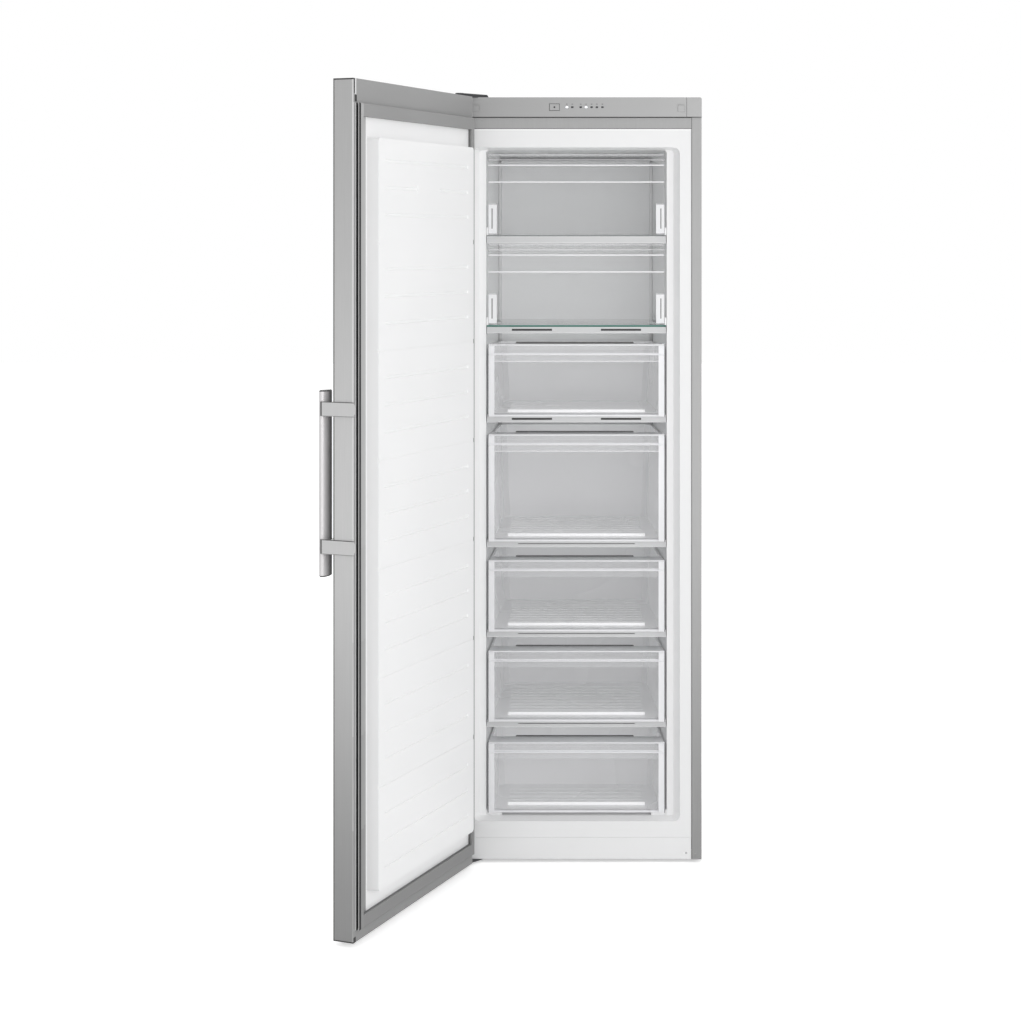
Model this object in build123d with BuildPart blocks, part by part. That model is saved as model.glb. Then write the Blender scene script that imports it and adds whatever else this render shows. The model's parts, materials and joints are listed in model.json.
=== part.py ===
from build123d import *
import os
from math import cos, radians, sin

# Upright freezer, hinged on the left, standing with its door open.
# Millimetres, +Z up, the front faces -Y and the open door stands out on the left.
# The origin is on the floor, under the middle of the whole object as it stands.

# Cabinet
WIDTH = 595.0              # over the side panels
HEIGHT = 1850.0            # floor to the top cover
DEPTH = 590.0              # front flange to back panel
GROUND_GAP = 8.0           # floor to the lower edge of the side panels
SHEET = 1.0                # steel sheet
FLANGE = 25.0              # steel edge folded in round the front and back
BEAD_COUNT = 3             # upright beads in the back panel
BEND = 2.5                 # outer radius of the folded steel
LINER_WALL = 2.0           # moulded plastic lining
FOAM_GAP = 0.2             # lining to foam
BUTT_GAP = 0.3             # between pieces that meet edge to edge
HINGE_SHIFT = 5.0          # the room and the door's lining lie this much nearer the hinges

# Front of the cabinet, from the top down
PANEL_HEIGHT = 48.5        # control panel
PANEL_PROUD = 4.0          # how far it stands in front of the flange
PANEL_DEPTH = 26.0         # how far it reaches behind the flange
PANEL_WALL = 2.5
PANEL_CORNER = 5.0
RAIL_GAP = 1.0             # control panel to the rail
RAIL_HEIGHT = 26.5         # steel rail that the door seal lands on
RAIL_DEPTH = 24.0
MOUTH_DROP = 45.0          # rail to the opening in the lining
MOUTH_RISE = 39.0          # plinth to the opening
MOUTH_MARGIN = 22.5        # steel edge to the opening, at each side
MOUTH_DEPTH = 34.0         # depth of the sloped edge of the opening
MOUTH_LIP = 5.0            # height of that slope, at top and bottom
MOUTH_SLOPE = 14.0         # width of that slope, at both sides
MOUTH_CORNER = 16.0
PLINTH_HEIGHT = 53.0
PLINTH_DEPTH = 17.0
PLINTH_WALL = 3.0

# Room inside the lining
WALL_THICKNESS = 77.5      # cabinet's side to the room, at the front
WALL_TAPER = 20.0          # how far each side wall draws in towards the back
ROOM_DEPTH = 505.0
ROOM_CORNER = 8.0
SKID_HEIGHT = 13.0         # the lowest drawer slides on two raised skids
SKID_WIDTH = 38.0
RISER_DEPTH = 270.0        # the floor rises over the machinery from here back

# Machinery space at the lower back
NICHE_FRONT = 345.0
NICHE_TOP = 250.0
BASE_LEVEL = 40.0          # underside of the base pan

# Compartments from the top down, as shares of the room's height
COMPARTMENT_SHARES = (207.0, 219.0, 217.0, 304.0, 219.0, 219.0, 234.0)

# Glass shelves between them
GLASS = 4.0
GLASS_FRONT = 41.0
GLASS_DUCT_GAP = 10.0      # glass stops this far before the duct cover
GLASS_SIDE_GAP = 1.0
TRIM_FRONT = 37.0
TRIM_DEPTH = 14.0
TRIM_HEIGHT = 20.0
GLASS_SHOW = 3.0           # glass edge left bare above the strip
TRIM_SIDE_GAP = 1.5
LEDGE_WIDTH = 8.0          # moulded ledge under each end of a shelf
LEDGE_HEIGHT = 8.0
SLOT_DROP = 11.5           # slots and lines below the top of the glass
SLOT_HEIGHT = 5.0          # pair of dark slots in two of the trims
SLOT_LENGTH = 98.0
SLOT_SPACING = 217.0
SLOT_DEPTH = 2.0
LINE_HEIGHT = 2.4          # single line in the other trims
LINE_LENGTH = 284.0

# Drawers, each given by the gap from its front to the shelf above, from the top down
DRAWER_TOP_GAPS = (46.0, 48.0, 50.0, 51.0, 54.0)
DRAWER_LIFT = 0.3          # tub to the shelf that it slides on
DRAWER_SIDE_GAP = 4.5      # front to the lining
DRAWER_FRONT_Y = 33.0      # outer face of a drawer's front
DRAWER_FRONT_WALL = 3.0
DRAWER_FRONT_DROP = 5.0    # front's lower edge below the top of the shelf
DRAWER_FRAME = 16.0        # thick side band of a front
DRAWER_FRAME_DEPTH = 5.0
GRIP_REACH = 11.0          # finger ledge along the top of a front
GRIP_BACK = 50.0           # level plate behind it
GRIP_WALL = 3.0
GRIP_SPACING = 24.0
TUB_WALL = 2.2
TUB_SIDE_GAP = 3.5         # tub's rim to the lining
TUB_DRAFT = 9.0            # how much narrower each side is at the floor
TUB_REAR_GAP = 12.0
TUB_TOP_GAP = 12.0         # tub's rim below the top of the front
TUB_RIM = 3.0
TUB_CORNER = 14.0
TUB_RIB_PITCH = 32.0
TUB_RIB_WIDTH = 6.0
TUB_RIB_HEIGHT = 1.2
TUB_RIB_LENGTH = 330.0

# Flaps of the two upper compartments, hinged along the bottom
FLAP_PIVOT_LIFT = 10.0     # hinge axis above the shelf
FLAP_PIVOT_Y = 40.0
FLAP_FOOT = 8.0            # flap below its hinge axis
FLAP_WALL = 3.0
FLAP_SET_BACK = 2.0        # flap's face behind its hinge axis
FLAP_SIDE_GAP = 6.0
FLAP_TOP_GAP = 2.0
FLAP_LUG_WIDTH = 20.0
FLAP_LUG_HEIGHT = 75.0
FLAP_LUG_DEPTH = 6.0
FLAP_LUG_SLOT = 3.0
FLAP_LUG_RECESS = 1.5
FLAP_RIDGE = 3.0
FLAP_RIDGE_DROPS = (12.0, 25.0, 66.0)
FLAP_PIN_RADIUS = 3.0
FLAP_PIN_GAP = 0.3
BEARING_GAP = 1.0          # between flap and bearing
BEARING_BACK = 0.3         # between bearing and lining
BEARING_SIZE = 12.0
BEARING_HEIGHT = 19.0

# Air duct, evaporator and fan behind the rear cover
DUCT_DEPTH = 65.0
DUCT_SIDE_GAP = 3.0        # cold air comes out along this gap
DUCT_WALL = 2.5
DUCT_TOP_GAP = 10.0
VENT_HEIGHT = 70.0         # openings in the cover's side walls
VENT_INSET = 14.0
VENT_DROP = 40.0
COIL_SIDE_GAP = 30.0
COIL_HEIGHT = 200.0
COIL_DEPTH = 50.0
COIL_LIFT = 60.0           # coil above the step
COIL_CORE = 10.0
FIN_COUNT = 12
FIN_WALL = 1.5
FAN_LEVEL = 720.0
FAN_RADIUS = 56.0
FAN_HUB_RADIUS = 20.0
FAN_DEPTH = 20.0
FAN_BLADES = 5
FAN_PITCH = 35.0
BLADE_WALL = 1.8
MOTOR_RADIUS = 24.0
MOTOR_DEPTH = 24.0
SHAFT_RADIUS = 2.5
SHAFT_GAP = 0.08
FAN_MOTOR_GAP = 2.0

# Door
DOOR_OPEN_ANGLE = 112.5    # how far it stands open here
DOOR_THICKNESS = 49.0      # without the seal
DOOR_FLOOR_GAP = 10.0
DOOR_TOP_GAP = 1.0         # door below the cabinet's top
PIVOT_SIDE = 12.0          # hinge axis to the door's hinge edge
PIVOT_INNER = 28.0         # hinge axis to the door's inner face
CLOSED_GAP = 0.5           # seal to cabinet with the door shut
DOOR_RETURN = 10.0         # skin folded over the inner face
CAP_WALL = 2.0
CAP_DEPTH = 6.0
TOP_BAND = 52.0            # inner face above the seal
BOTTOM_BAND = 25.0
SEAL_DEPTH = 10.0
SEAL_INSET = 7.5           # door's hinge edge to the seal, so that it swings clear of the side
SEAL_SIDE = 16.0           # width of the seal down the sides
SEAL_END = 28.0            # width of the seal across top and bottom
SEAL_HEAD = 4.0
SEAL_EASE = 2.0            # head's outer edge is cut back to swing clear of the side
SEAL_BASE = 2.0
SEAL_NECK_INSET = 4.0
PAD_SIDE = 54.0            # door's edge to the foot of the raised lining
PAD_GAP = 2.0              # raised lining to the opening that it closes
PAD_PROUD = 28.0
PAD_SLOPE = 3.0            # sloped edge of the raised lining
PAD_CORNER = 8.0
PAD_WALL = 4.0
GROOVE_PITCH = 58.6
GROOVES_PER_SEAM = 4
SEAM_DROP = 227.0          # highest seam below the top of the raised lining
GROOVE_WIDTH = 8.0
GROOVE_DEPTH = 2.2
GROOVE_LENGTH = 420.0
SEAM_WIDTH = 3.0
SEAM_DEPTH = 1.2
NOTCH_SIZE = 5.0
TAG_WIDTH = 108.0          # plain raised tablet across the second groove
TAG_HEIGHT = 24.0
TAG_PROUD = 1.0

# Handle
BAR_WIDTH = 44.0
BAR_THICKNESS = 20.0
BAR_BOTTOM = 783.0
BAR_LENGTH = 400.0
FINGER_GAP = 20.0
BAR_EDGE = 2.0
STRAP_WALL = 2.5
STRAP_HEIGHT = 31.0
STRAP_BOTTOM = 50.5        # lower strap above the end of the bar
STRAP_TOP = 24.0           # upper strap below the end of the bar
STRAP_HOOK = 7.0
STRAP_HOOK_HEIGHT = 20.0
POST_INSET = 3.0           # post shorter than its strap, at both edges
CRADLE_GAP = 0.1

# Door hinges
PIN_RADIUS = 4.5
PIN_GAP = 0.06
PIN_LENGTH = 18.0
BUSH_RADIUS = 8.0          # half the width of a bush
BUSH_GAP = 0.1
HINGE_WALL = 2.5
HINGE_BOSS = 11.0
HINGE_WIDTH = 72.0
HINGE_FRONT = 20.0
HINGE_BACK = 85.0
HINGE_COVER_HEIGHT = 5.0
HINGE_COVER_WALL = 1.6
LOWER_HINGE_BACK = 50.0
HINGE_SIDE_GAP = 5.0       # hinge plates to the outside of the cabinet

# Control panel pieces
BUTTON_X = -58.5
BUTTON_WIDTH = 23.0
BUTTON_HEIGHT = 15.0
BUTTON_PROUD = 1.2
BUTTON_GAP = 0.3
BUTTON_DEPTH = 9.5
CONTROL_LEVEL = 24.0       # button and lights below the cabinet's top
LIGHT_XS = (-28.3, -15.2, 5.1, 18.1, 31.4, 44.2, 57.5)
LIGHT_SIZE = 4.2
LIGHT_GAP = 0.15
BOARD_Y = 8.0
BOARD_WALL = 1.6
BOARD_WIDTH = 150.0
BOARD_HEIGHT = 34.0
BOARD_POST = 2.5
COVER_X = 246.0            # square screw covers near both ends
COVER_SIZE = 16.0
COVER_SINK = 0.8
PANEL_LINE_X = 261.0

# Feet, rollers and machinery
FOOT_X = 250.0
FOOT_Y = 80.0
FOOT_RADIUS = 18.0
FOOT_HEIGHT = 9.0
FOOT_STEM = 5.0
ROLLER_X = 255.0
ROLLER_Y = 545.0
ROLLER_RADIUS = 18.0
ROLLER_WIDTH = 16.0
AXLE_RADIUS = 4.0
AXLE_GAP = 0.08
ROLLER_SIDE_GAP = 0.6
EAR_WALL = 2.0
TRAY_LEVEL = 22.0          # machinery tray above the floor
TRAY_FRONT = 395.0
TRAY_BACK = 586.0
TRAY_WALL = 2.0
TRAY_LIP = 16.0
COMPRESSOR_X = -60.0
COMPRESSOR_Y = 478.0
COMPRESSOR_RADIUS = 70.0
COMPRESSOR_HEIGHT = 150.0
COMPRESSOR_FOOT = 3.0
MOUNT_WIDTH = 176.0
MOUNT_DEPTH = 120.0
BUSH_HEIGHT = 14.0
RUBBER_RADIUS = 10.0

# Places that follow from the sizes above
PANEL_BOTTOM = HEIGHT - PANEL_HEIGHT
RAIL_TOP = PANEL_BOTTOM - RAIL_GAP
RAIL_BOTTOM = RAIL_TOP - RAIL_HEIGHT
PLINTH_TOP = GROUND_GAP + PLINTH_HEIGHT
FLANGE_INNER = WIDTH / 2 - FLANGE
SIDE_INNER = WIDTH / 2 - SHEET
LINER_FRONT = SHEET
LINER_BACK = LINER_FRONT + LINER_WALL

MOUTH_TOP = RAIL_BOTTOM - MOUTH_DROP
MOUTH_BOTTOM = PLINTH_TOP + MOUTH_RISE
MOUTH_WIDTH = 2 * (FLANGE_INNER - MOUTH_MARGIN)
ROOM_CEILING = MOUTH_TOP - MOUTH_LIP
ROOM_FLOOR = MOUTH_BOTTOM + MOUTH_LIP
ROOM_FRONT_WIDTH = WIDTH - 2 * WALL_THICKNESS
ROOM_REAR_WIDTH = ROOM_FRONT_WIDTH - 2 * WALL_TAPER
DRAWER_WIDTH = ROOM_FRONT_WIDTH - 2 * DRAWER_SIDE_GAP
FLAP_WIDTH = ROOM_FRONT_WIDTH - 2 * FLAP_SIDE_GAP
DUCT_HALF_WIDTH = ROOM_REAR_WIDTH / 2 - DUCT_SIDE_GAP
COIL_WIDTH = ROOM_REAR_WIDTH - 2 * COIL_SIDE_GAP

# Top faces of the glass shelves and tops of the drawers' fronts, from the top down
SHARE = (ROOM_CEILING - ROOM_FLOOR) / sum(COMPARTMENT_SHARES)
FILLED = [sum(COMPARTMENT_SHARES[:count]) for count in range(len(COMPARTMENT_SHARES))]
SHELF_LEVELS = tuple(ROOM_CEILING - SHARE * filled for filled in FILLED[1:])
DRAWER_TOPS = tuple(above - gap for above, gap in zip(SHELF_LEVELS[1:], DRAWER_TOP_GAPS))
DRAWER_FLOORS = (*SHELF_LEVELS[2:], ROOM_FLOOR + SKID_HEIGHT)
FLAP_HEIGHT = SHELF_LEVELS[0] - TRIM_HEIGHT - FLAP_TOP_GAP - SHELF_LEVELS[1]
STEP_TOP = SHELF_LEVELS[-1] - GLASS
DUCT_FRONT = ROOM_DEPTH - DUCT_DEPTH
GLASS_REAR = DUCT_FRONT - GLASS_DUCT_GAP

DOOR_BOTTOM = DOOR_FLOOR_GAP
DOOR_TOP = HEIGHT - DOOR_TOP_GAP
DOOR_OUTER = PIVOT_INNER - DOOR_THICKNESS
HINGE_EDGE = -PIVOT_SIDE
FREE_EDGE = WIDTH - PIVOT_SIDE
SEAL_TOP = DOOR_TOP - TOP_BAND
SEAL_BOTTOM = DOOR_BOTTOM + BOTTOM_BAND
DOOR_MIDDLE = (HINGE_EDGE + FREE_EDGE) / 2 - HINGE_SHIFT
PAD_TOP = MOUTH_TOP - PAD_GAP
PAD_BOTTOM = MOUTH_BOTTOM + PAD_GAP
SEAM_LEVEL = PAD_TOP - SEAM_DROP
BUSH_ROOM = BUSH_RADIUS + BUSH_GAP
BUSH_BOSS = BUSH_ROOM + CAP_WALL

BAR_X = FREE_EDGE - BAR_WIDTH / 2
BAR_Y = DOOR_OUTER - FINGER_GAP - BAR_THICKNESS / 2

PIVOT_X = -WIDTH / 2 + PIVOT_SIDE
PIVOT_Y = -(PIVOT_INNER + SEAL_DEPTH + CLOSED_GAP)
SWING = radians(DOOR_OPEN_ANGLE)

# The open door reaches furthest left with its handle bar and furthest forward with its straps.
BAR_REACH = ((BAR_WIDTH / 2 * cos(SWING)) ** 2 + (BAR_THICKNESS / 2 * sin(SWING)) ** 2) ** 0.5
LEFT_END = PIVOT_X + BAR_X * cos(SWING) + BAR_Y * sin(SWING) - BAR_REACH
STRAP_TIP_X = FREE_EDGE + STRAP_WALL
STRAP_TIP_Y = PIVOT_INNER + STRAP_WALL
FRONT_END = PIVOT_Y - STRAP_TIP_X * sin(SWING) + STRAP_TIP_Y * cos(SWING)
MIDDLE_X = (LEFT_END + WIDTH / 2) / 2
MIDDLE_Y = (FRONT_END + DEPTH) / 2

# The cabinet's own axes start on the floor under the middle of its front flange, the room's
# a little nearer the hinges. The door's start on the floor under the hinge axis, with x along
# the door and y towards its inner face.
CABINET = Plane(origin=(-MIDDLE_X, -MIDDLE_Y, 0))
ROOM = Plane(origin=(-MIDDLE_X - HINGE_SHIFT, -MIDDLE_Y, 0))
DOOR = Plane(
    origin=(PIVOT_X - MIDDLE_X, PIVOT_Y - MIDDLE_Y, 0),
    x_dir=(cos(SWING), -sin(SWING), 0),
    z_dir=(0, 0, 1),
)


def plan(frame, z):
    """Level plane at a height, seen from above."""
    return frame.offset(z)


def elevation(frame, y):
    """Upright plane at a depth, seen from the front: sketch x is x, sketch y is z."""
    return Plane(frame.from_local_coords(Vector(0, y, 0)), frame.x_dir, -frame.y_dir)


def section(frame, x):
    """Upright plane across the front, seen from the right: sketch x is y, sketch y is z."""
    return Plane(frame.from_local_coords(Vector(x, 0, 0)), frame.y_dir, frame.x_dir)


def rectangle(x, y, mode=Mode.ADD):
    """Rectangle between the low and high ends of x and of y."""
    with Locations(((x[0] + x[1]) / 2, (y[0] + y[1]) / 2)):
        Rectangle(x[1] - x[0], y[1] - y[0], mode=mode)


def block(frame, x, y, z, mode=Mode.ADD):
    """Block between the low and high ends of x, y and z, in a frame's own axes."""
    with BuildSketch(plan(frame, z[0])) as outline:
        rectangle(x, y)
    extrude(outline.sketch, amount=z[1] - z[0], mode=mode)


def post(frame, x, y, z, radius, mode=Mode.ADD):
    """Round upright post between the low and high ends of z."""
    with BuildSketch(plan(frame, z[0])) as outline:
        with Locations((x, y)):
            Circle(radius)
    extrude(outline.sketch, amount=z[1] - z[0], mode=mode)


def rod(frame, y, z, x, radius, mode=Mode.ADD):
    """Round rod across the front, between the low and high ends of x."""
    with BuildSketch(section(frame, x[0])) as outline:
        with Locations((y, z)):
            Circle(radius)
    extrude(outline.sketch, amount=x[1] - x[0], mode=mode)


def save(piece, name):
    piece.part.label = name
    export_step(piece.part, f"parts/{name}.step")


def room_half_width(y):
    """The lining's side walls draw in towards the back."""
    share = (y - MOUTH_DEPTH) / (ROOM_DEPTH - MOUTH_DEPTH)
    return (ROOM_FRONT_WIDTH + share * (ROOM_REAR_WIDTH - ROOM_FRONT_WIDTH)) / 2


# ---------------------------------------------------------------- cabinet shell


def make_side_panel(side, name):
    """Steel side, folded in round the front and the back, cut away for the control panel."""
    outer = side * WIDTH / 2
    with BuildPart() as side_panel:
        with BuildSketch(plan(CABINET, GROUND_GAP)) as profile:
            rectangle(sorted((outer, side * FLANGE_INNER)), (0, DEPTH - SHEET))
            inside = sorted((side * SIDE_INNER, side * (FLANGE_INNER - SHEET)))
            rectangle(inside, (SHEET, DEPTH - 2 * SHEET), mode=Mode.SUBTRACT)
            corners = profile.vertices().group_by(Axis.X)[-1 if side > 0 else 0]
            fillet(corners, radius=BEND)
            folds = profile.vertices().sort_by_distance((side * SIDE_INNER, SHEET))[0]
            fillet(folds, radius=BEND - SHEET)
        extrude(amount=HEIGHT - SHEET - GROUND_GAP)
        x = sorted((outer + side, side * (FLANGE_INNER - SHEET)))
        y = (-SHEET, PANEL_DEPTH + BUTT_GAP)
        block(CABINET, x, y, (PANEL_BOTTOM - BUTT_GAP, HEIGHT), mode=Mode.SUBTRACT)
    save(side_panel, name)


def make_top_cover():
    """Steel top that lies on the sides, with a shallow raised field against drumming."""
    with BuildPart() as top_cover:
        with BuildSketch(plan(CABINET, HEIGHT - SHEET)) as sheet:
            rectangle((-WIDTH / 2, WIDTH / 2), (PANEL_DEPTH, DEPTH))
            fillet(sheet.vertices().group_by(Axis.Y)[-1], radius=BEND)
        extrude(amount=SHEET)
        y = ((PANEL_DEPTH + HINGE_BACK) / 2 + FLANGE, DEPTH - 2 * FLANGE)
        with BuildSketch(plan(CABINET, HEIGHT)):
            with Locations((0, (y[0] + y[1]) / 2)):
                RectangleRounded(WIDTH - 8 * FLANGE, y[1] - y[0], FLANGE)
        extrude(amount=SHEET, taper=45)
    save(top_cover, "top_cover")


def make_back_panel():
    """Steel back, over the folds of the sides, stiffened by three upright beads."""
    height = HEIGHT - SHEET - NICHE_TOP
    with BuildPart() as back_panel:
        with BuildSketch(elevation(CABINET, DEPTH - SHEET)):
            rectangle((-SIDE_INNER + BEND, SIDE_INNER - BEND), (NICHE_TOP, HEIGHT - SHEET))
        extrude(amount=-SHEET)
        with BuildSketch(elevation(CABINET, DEPTH)):
            with Locations((0, NICHE_TOP + height / 2)):
                with GridLocations(WIDTH / BEAD_COUNT, 1, BEAD_COUNT, 1):
                    Rectangle(FLANGE / 2, height - 4 * FLANGE)
        extrude(amount=-SHEET, taper=45)
    save(back_panel, "back_panel")


def make_base_pan():
    """Steel pan under the foam, stepped up over the machinery space."""
    top = BASE_LEVEL + SHEET
    front = LINER_FRONT + PLINTH_WALL
    back = DEPTH - 2 * SHEET
    with BuildPart() as base_pan:
        with BuildSketch(section(CABINET, -SIDE_INNER)):
            with BuildLine():
                Polyline(
                    (front, BASE_LEVEL - PLINTH_DEPTH / 2),
                    (front, top),
                    (NICHE_FRONT - SHEET, top),
                    (NICHE_FRONT - SHEET, NICHE_TOP + SHEET),
                    (back, NICHE_TOP + SHEET),
                    (back, NICHE_TOP),
                    (NICHE_FRONT, NICHE_TOP),
                    (NICHE_FRONT, BASE_LEVEL),
                    (front + SHEET, BASE_LEVEL),
                    (front + SHEET, BASE_LEVEL - PLINTH_DEPTH / 2),
                    close=True,
                )
            make_face()
        extrude(amount=2 * SIDE_INNER)
    save(base_pan, "base_pan")


def liner_room(grow):
    """The room inside the lining, grown on every side: sloped mouth, tapering room and step."""
    with BuildPart() as room:
        mouth_height = MOUTH_TOP - MOUTH_BOTTOM + 2 * grow
        mouth_middle = (MOUTH_TOP + MOUTH_BOTTOM) / 2
        room_height = ROOM_CEILING - ROOM_FLOOR + 2 * grow
        room_middle = (ROOM_CEILING + ROOM_FLOOR) / 2
        with BuildSketch(elevation(ROOM, LINER_FRONT)):
            with Locations((0, mouth_middle)):
                RectangleRounded(MOUTH_WIDTH + 2 * grow, mouth_height, MOUTH_CORNER + grow)
        with BuildSketch(elevation(ROOM, MOUTH_DEPTH + grow)):
            with Locations((0, room_middle)):
                width = MOUTH_WIDTH - 2 * MOUTH_SLOPE + 2 * grow
                RectangleRounded(width, room_height, ROOM_CORNER + grow)
        loft(ruled=True)
        with BuildSketch(elevation(ROOM, MOUTH_DEPTH)):
            with Locations((0, room_middle)):
                RectangleRounded(ROOM_FRONT_WIDTH + 2 * grow, room_height, ROOM_CORNER + grow)
        with BuildSketch(elevation(ROOM, ROOM_DEPTH + grow)):
            with Locations((0, room_middle)):
                RectangleRounded(ROOM_REAR_WIDTH + 2 * grow, room_height, ROOM_CORNER + grow)
        loft(ruled=True)
        with BuildSketch(section(ROOM, -WIDTH / 2)) as step:
            rectangle((RISER_DEPTH + grow, ROOM_DEPTH + 2 * FLANGE), (0, STEP_TOP - grow))
            fillet(step.vertices().group_by(Axis.X)[0].sort_by(Axis.Y)[-1], ROOM_CORNER)
        extrude(amount=WIDTH, mode=Mode.SUBTRACT)
    return room.part


def make_insulation():
    """Foam that fills the space between the lining and the steel."""
    pocket = liner_room(LINER_WALL + FOAM_GAP)
    back = DEPTH - 2 * SHEET
    with BuildPart() as insulation:
        with BuildSketch(section(CABINET, -SIDE_INNER)):
            with BuildLine():
                Polyline(
                    (PLINTH_DEPTH + LINER_BACK, BASE_LEVEL + SHEET),
                    (PLINTH_DEPTH + LINER_BACK, PLINTH_TOP + BUTT_GAP),
                    (LINER_BACK, PLINTH_TOP + BUTT_GAP),
                    (LINER_BACK, RAIL_BOTTOM - BUTT_GAP),
                    (PANEL_DEPTH + BUTT_GAP, RAIL_BOTTOM - BUTT_GAP),
                    (PANEL_DEPTH + BUTT_GAP, HEIGHT - SHEET),
                    (back, HEIGHT - SHEET),
                    (back, NICHE_TOP + SHEET),
                    (NICHE_FRONT - SHEET, NICHE_TOP + SHEET),
                    (NICHE_FRONT - SHEET, BASE_LEVEL + SHEET),
                    close=True,
                )
            make_face()
        extrude(amount=2 * SIDE_INNER)
        add(pocket, mode=Mode.SUBTRACT)
        for side in (-1, 1):
            x = sorted((side * SIDE_INNER, side * (SIDE_INNER - BEND)))
            y = (0, LINER_BACK + BEND)
            block(CABINET, x, y, (BASE_LEVEL, PANEL_BOTTOM), mode=Mode.SUBTRACT)
    save(insulation, "insulation")


def make_rests():
    """Ledges for the shelves and skids for the lowest drawer, along both side walls."""
    start = TRIM_FRONT + TRIM_DEPTH + FLAP_RIDGE
    skid_top = ROOM_FLOOR + SKID_HEIGHT
    rests = [(ROOM_FLOOR - LINER_WALL / 2, skid_top, SKID_WIDTH, TRIM_FRONT, RISER_DEPTH)]
    for level in SHELF_LEVELS:
        under = level - GLASS
        end = GLASS_REAR if under > STEP_TOP else RISER_DEPTH + ROOM_CORNER
        rests.append((under - LEDGE_HEIGHT, under, LEDGE_WIDTH, start, end))
    with BuildPart() as ledges:
        for low, high, reach, near_y, far_y in rests:
            near = room_half_width(near_y)
            far = room_half_width(far_y)
            for side in (-1, 1):
                with BuildSketch(plan(ROOM, low)):
                    with BuildLine():
                        Polyline(
                            (side * (near + LINER_WALL / 2), near_y),
                            (side * (far + LINER_WALL / 2), far_y),
                            (side * (far - reach), far_y),
                            (side * (near - reach), near_y),
                            close=True,
                        )
                    make_face()
                extrude(amount=high - low)
        add(liner_room(LINER_WALL / 2), mode=Mode.INTERSECT)
    return ledges.part


def make_inner_liner():
    """White moulded lining: front flange, sloped mouth, room, and the rests on its walls."""
    outside = liner_room(LINER_WALL)
    inside = liner_room(0)
    rests = make_rests()
    edge = FLANGE_INNER + FLANGE / 3
    with BuildPart() as inner_liner:
        with BuildSketch(elevation(CABINET, LINER_FRONT)):
            rectangle((-edge, edge), (PLINTH_TOP + BUTT_GAP, RAIL_BOTTOM - BUTT_GAP))
        extrude(amount=-LINER_WALL)
        add(outside)
        add(inside, mode=Mode.SUBTRACT)
        add(rests)
    save(inner_liner, "inner_liner")


def make_seal_rail():
    """Steel channel under the control panel, which the door's seal closes on."""
    with BuildPart() as seal_rail:
        with BuildSketch(section(CABINET, -FLANGE_INNER)):
            rectangle((0, RAIL_DEPTH), (RAIL_BOTTOM, RAIL_TOP))
            hollow = (RAIL_BOTTOM + SHEET, RAIL_TOP - SHEET)
            rectangle((SHEET, RAIL_DEPTH), hollow, mode=Mode.SUBTRACT)
        extrude(amount=2 * FLANGE_INNER)
    save(seal_rail, "seal_rail")


def make_plinth():
    """White base trim between the steel edges, with one plugged hole at each end."""
    half = FLANGE_INNER - BUTT_GAP
    hole_level = GROUND_GAP + PLINTH_DEPTH - 2 * SHEET
    hole_radius = 3.0
    with BuildPart() as plinth:
        with BuildSketch(section(CABINET, -half)):
            rectangle((LINER_FRONT, PLINTH_DEPTH + LINER_FRONT), (GROUND_GAP, PLINTH_TOP))
            behind = (LINER_FRONT + PLINTH_WALL, PLINTH_DEPTH + LINER_BACK)
            above = (GROUND_GAP - PLINTH_WALL, PLINTH_TOP - PLINTH_WALL)
            rectangle(behind, above, mode=Mode.SUBTRACT)
        extrude(amount=2 * half)
        front = plinth.faces().sort_by(Axis.Y)[0]
        chamfer(front.edges().filter_by(Axis.X), length=BEND / 2)
        with BuildSketch(elevation(CABINET, LINER_FRONT)):
            with Locations((-half + PLINTH_DEPTH, hole_level), (half - PLINTH_DEPTH, hole_level)):
                RegularPolygon(hole_radius, 8)
        extrude(amount=-PLINTH_WALL / 2, mode=Mode.SUBTRACT)
    save(plinth, "plinth")


# ---------------------------------------------------------------- control panel


def make_control_panel():
    """Grey fascia across the top: a tray open at the back, with holes for button and lights."""
    level = HEIGHT - CONTROL_LEVEL
    half = WIDTH / 2
    with BuildPart() as control_panel:
        with BuildSketch(elevation(CABINET, -PANEL_PROUD)) as outline:
            rectangle((-half, half), (PANEL_BOTTOM, HEIGHT))
            fillet(outline.vertices().group_by(Axis.Y)[-1], radius=PANEL_CORNER)
        extrude(amount=-PANEL_PROUD - PANEL_DEPTH)
        front = control_panel.faces().sort_by(Axis.Y)[0]
        chamfer(front.edges(), length=PANEL_PROUD / 4)
        x = (-half + PANEL_WALL, half - PANEL_WALL)
        y = (PANEL_WALL - PANEL_PROUD, PANEL_DEPTH)
        z = (PANEL_BOTTOM + PANEL_WALL, HEIGHT - PANEL_WALL)
        block(CABINET, x, y, z, mode=Mode.SUBTRACT)
        with BuildSketch(elevation(CABINET, -PANEL_PROUD)):
            with Locations((BUTTON_X, level)):
                Rectangle(BUTTON_WIDTH + 2 * BUTTON_GAP, BUTTON_HEIGHT + 2 * BUTTON_GAP)
            with Locations(*[(x, level) for x in LIGHT_XS]):
                Rectangle(LIGHT_SIZE + 2 * LIGHT_GAP, LIGHT_SIZE + 2 * LIGHT_GAP)
        extrude(amount=-PANEL_WALL, mode=Mode.SUBTRACT)
        with BuildSketch(elevation(CABINET, -PANEL_PROUD)):
            with Locations((-COVER_X, level), (COVER_X, level)):
                Rectangle(COVER_SIZE, COVER_SIZE)
            with Locations((-PANEL_LINE_X, HEIGHT), (PANEL_LINE_X, HEIGHT)):
                Rectangle(COVER_SINK, 2 * PANEL_HEIGHT)
        extrude(amount=-COVER_SINK, mode=Mode.SUBTRACT)
    save(control_panel, "control_panel")


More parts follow.
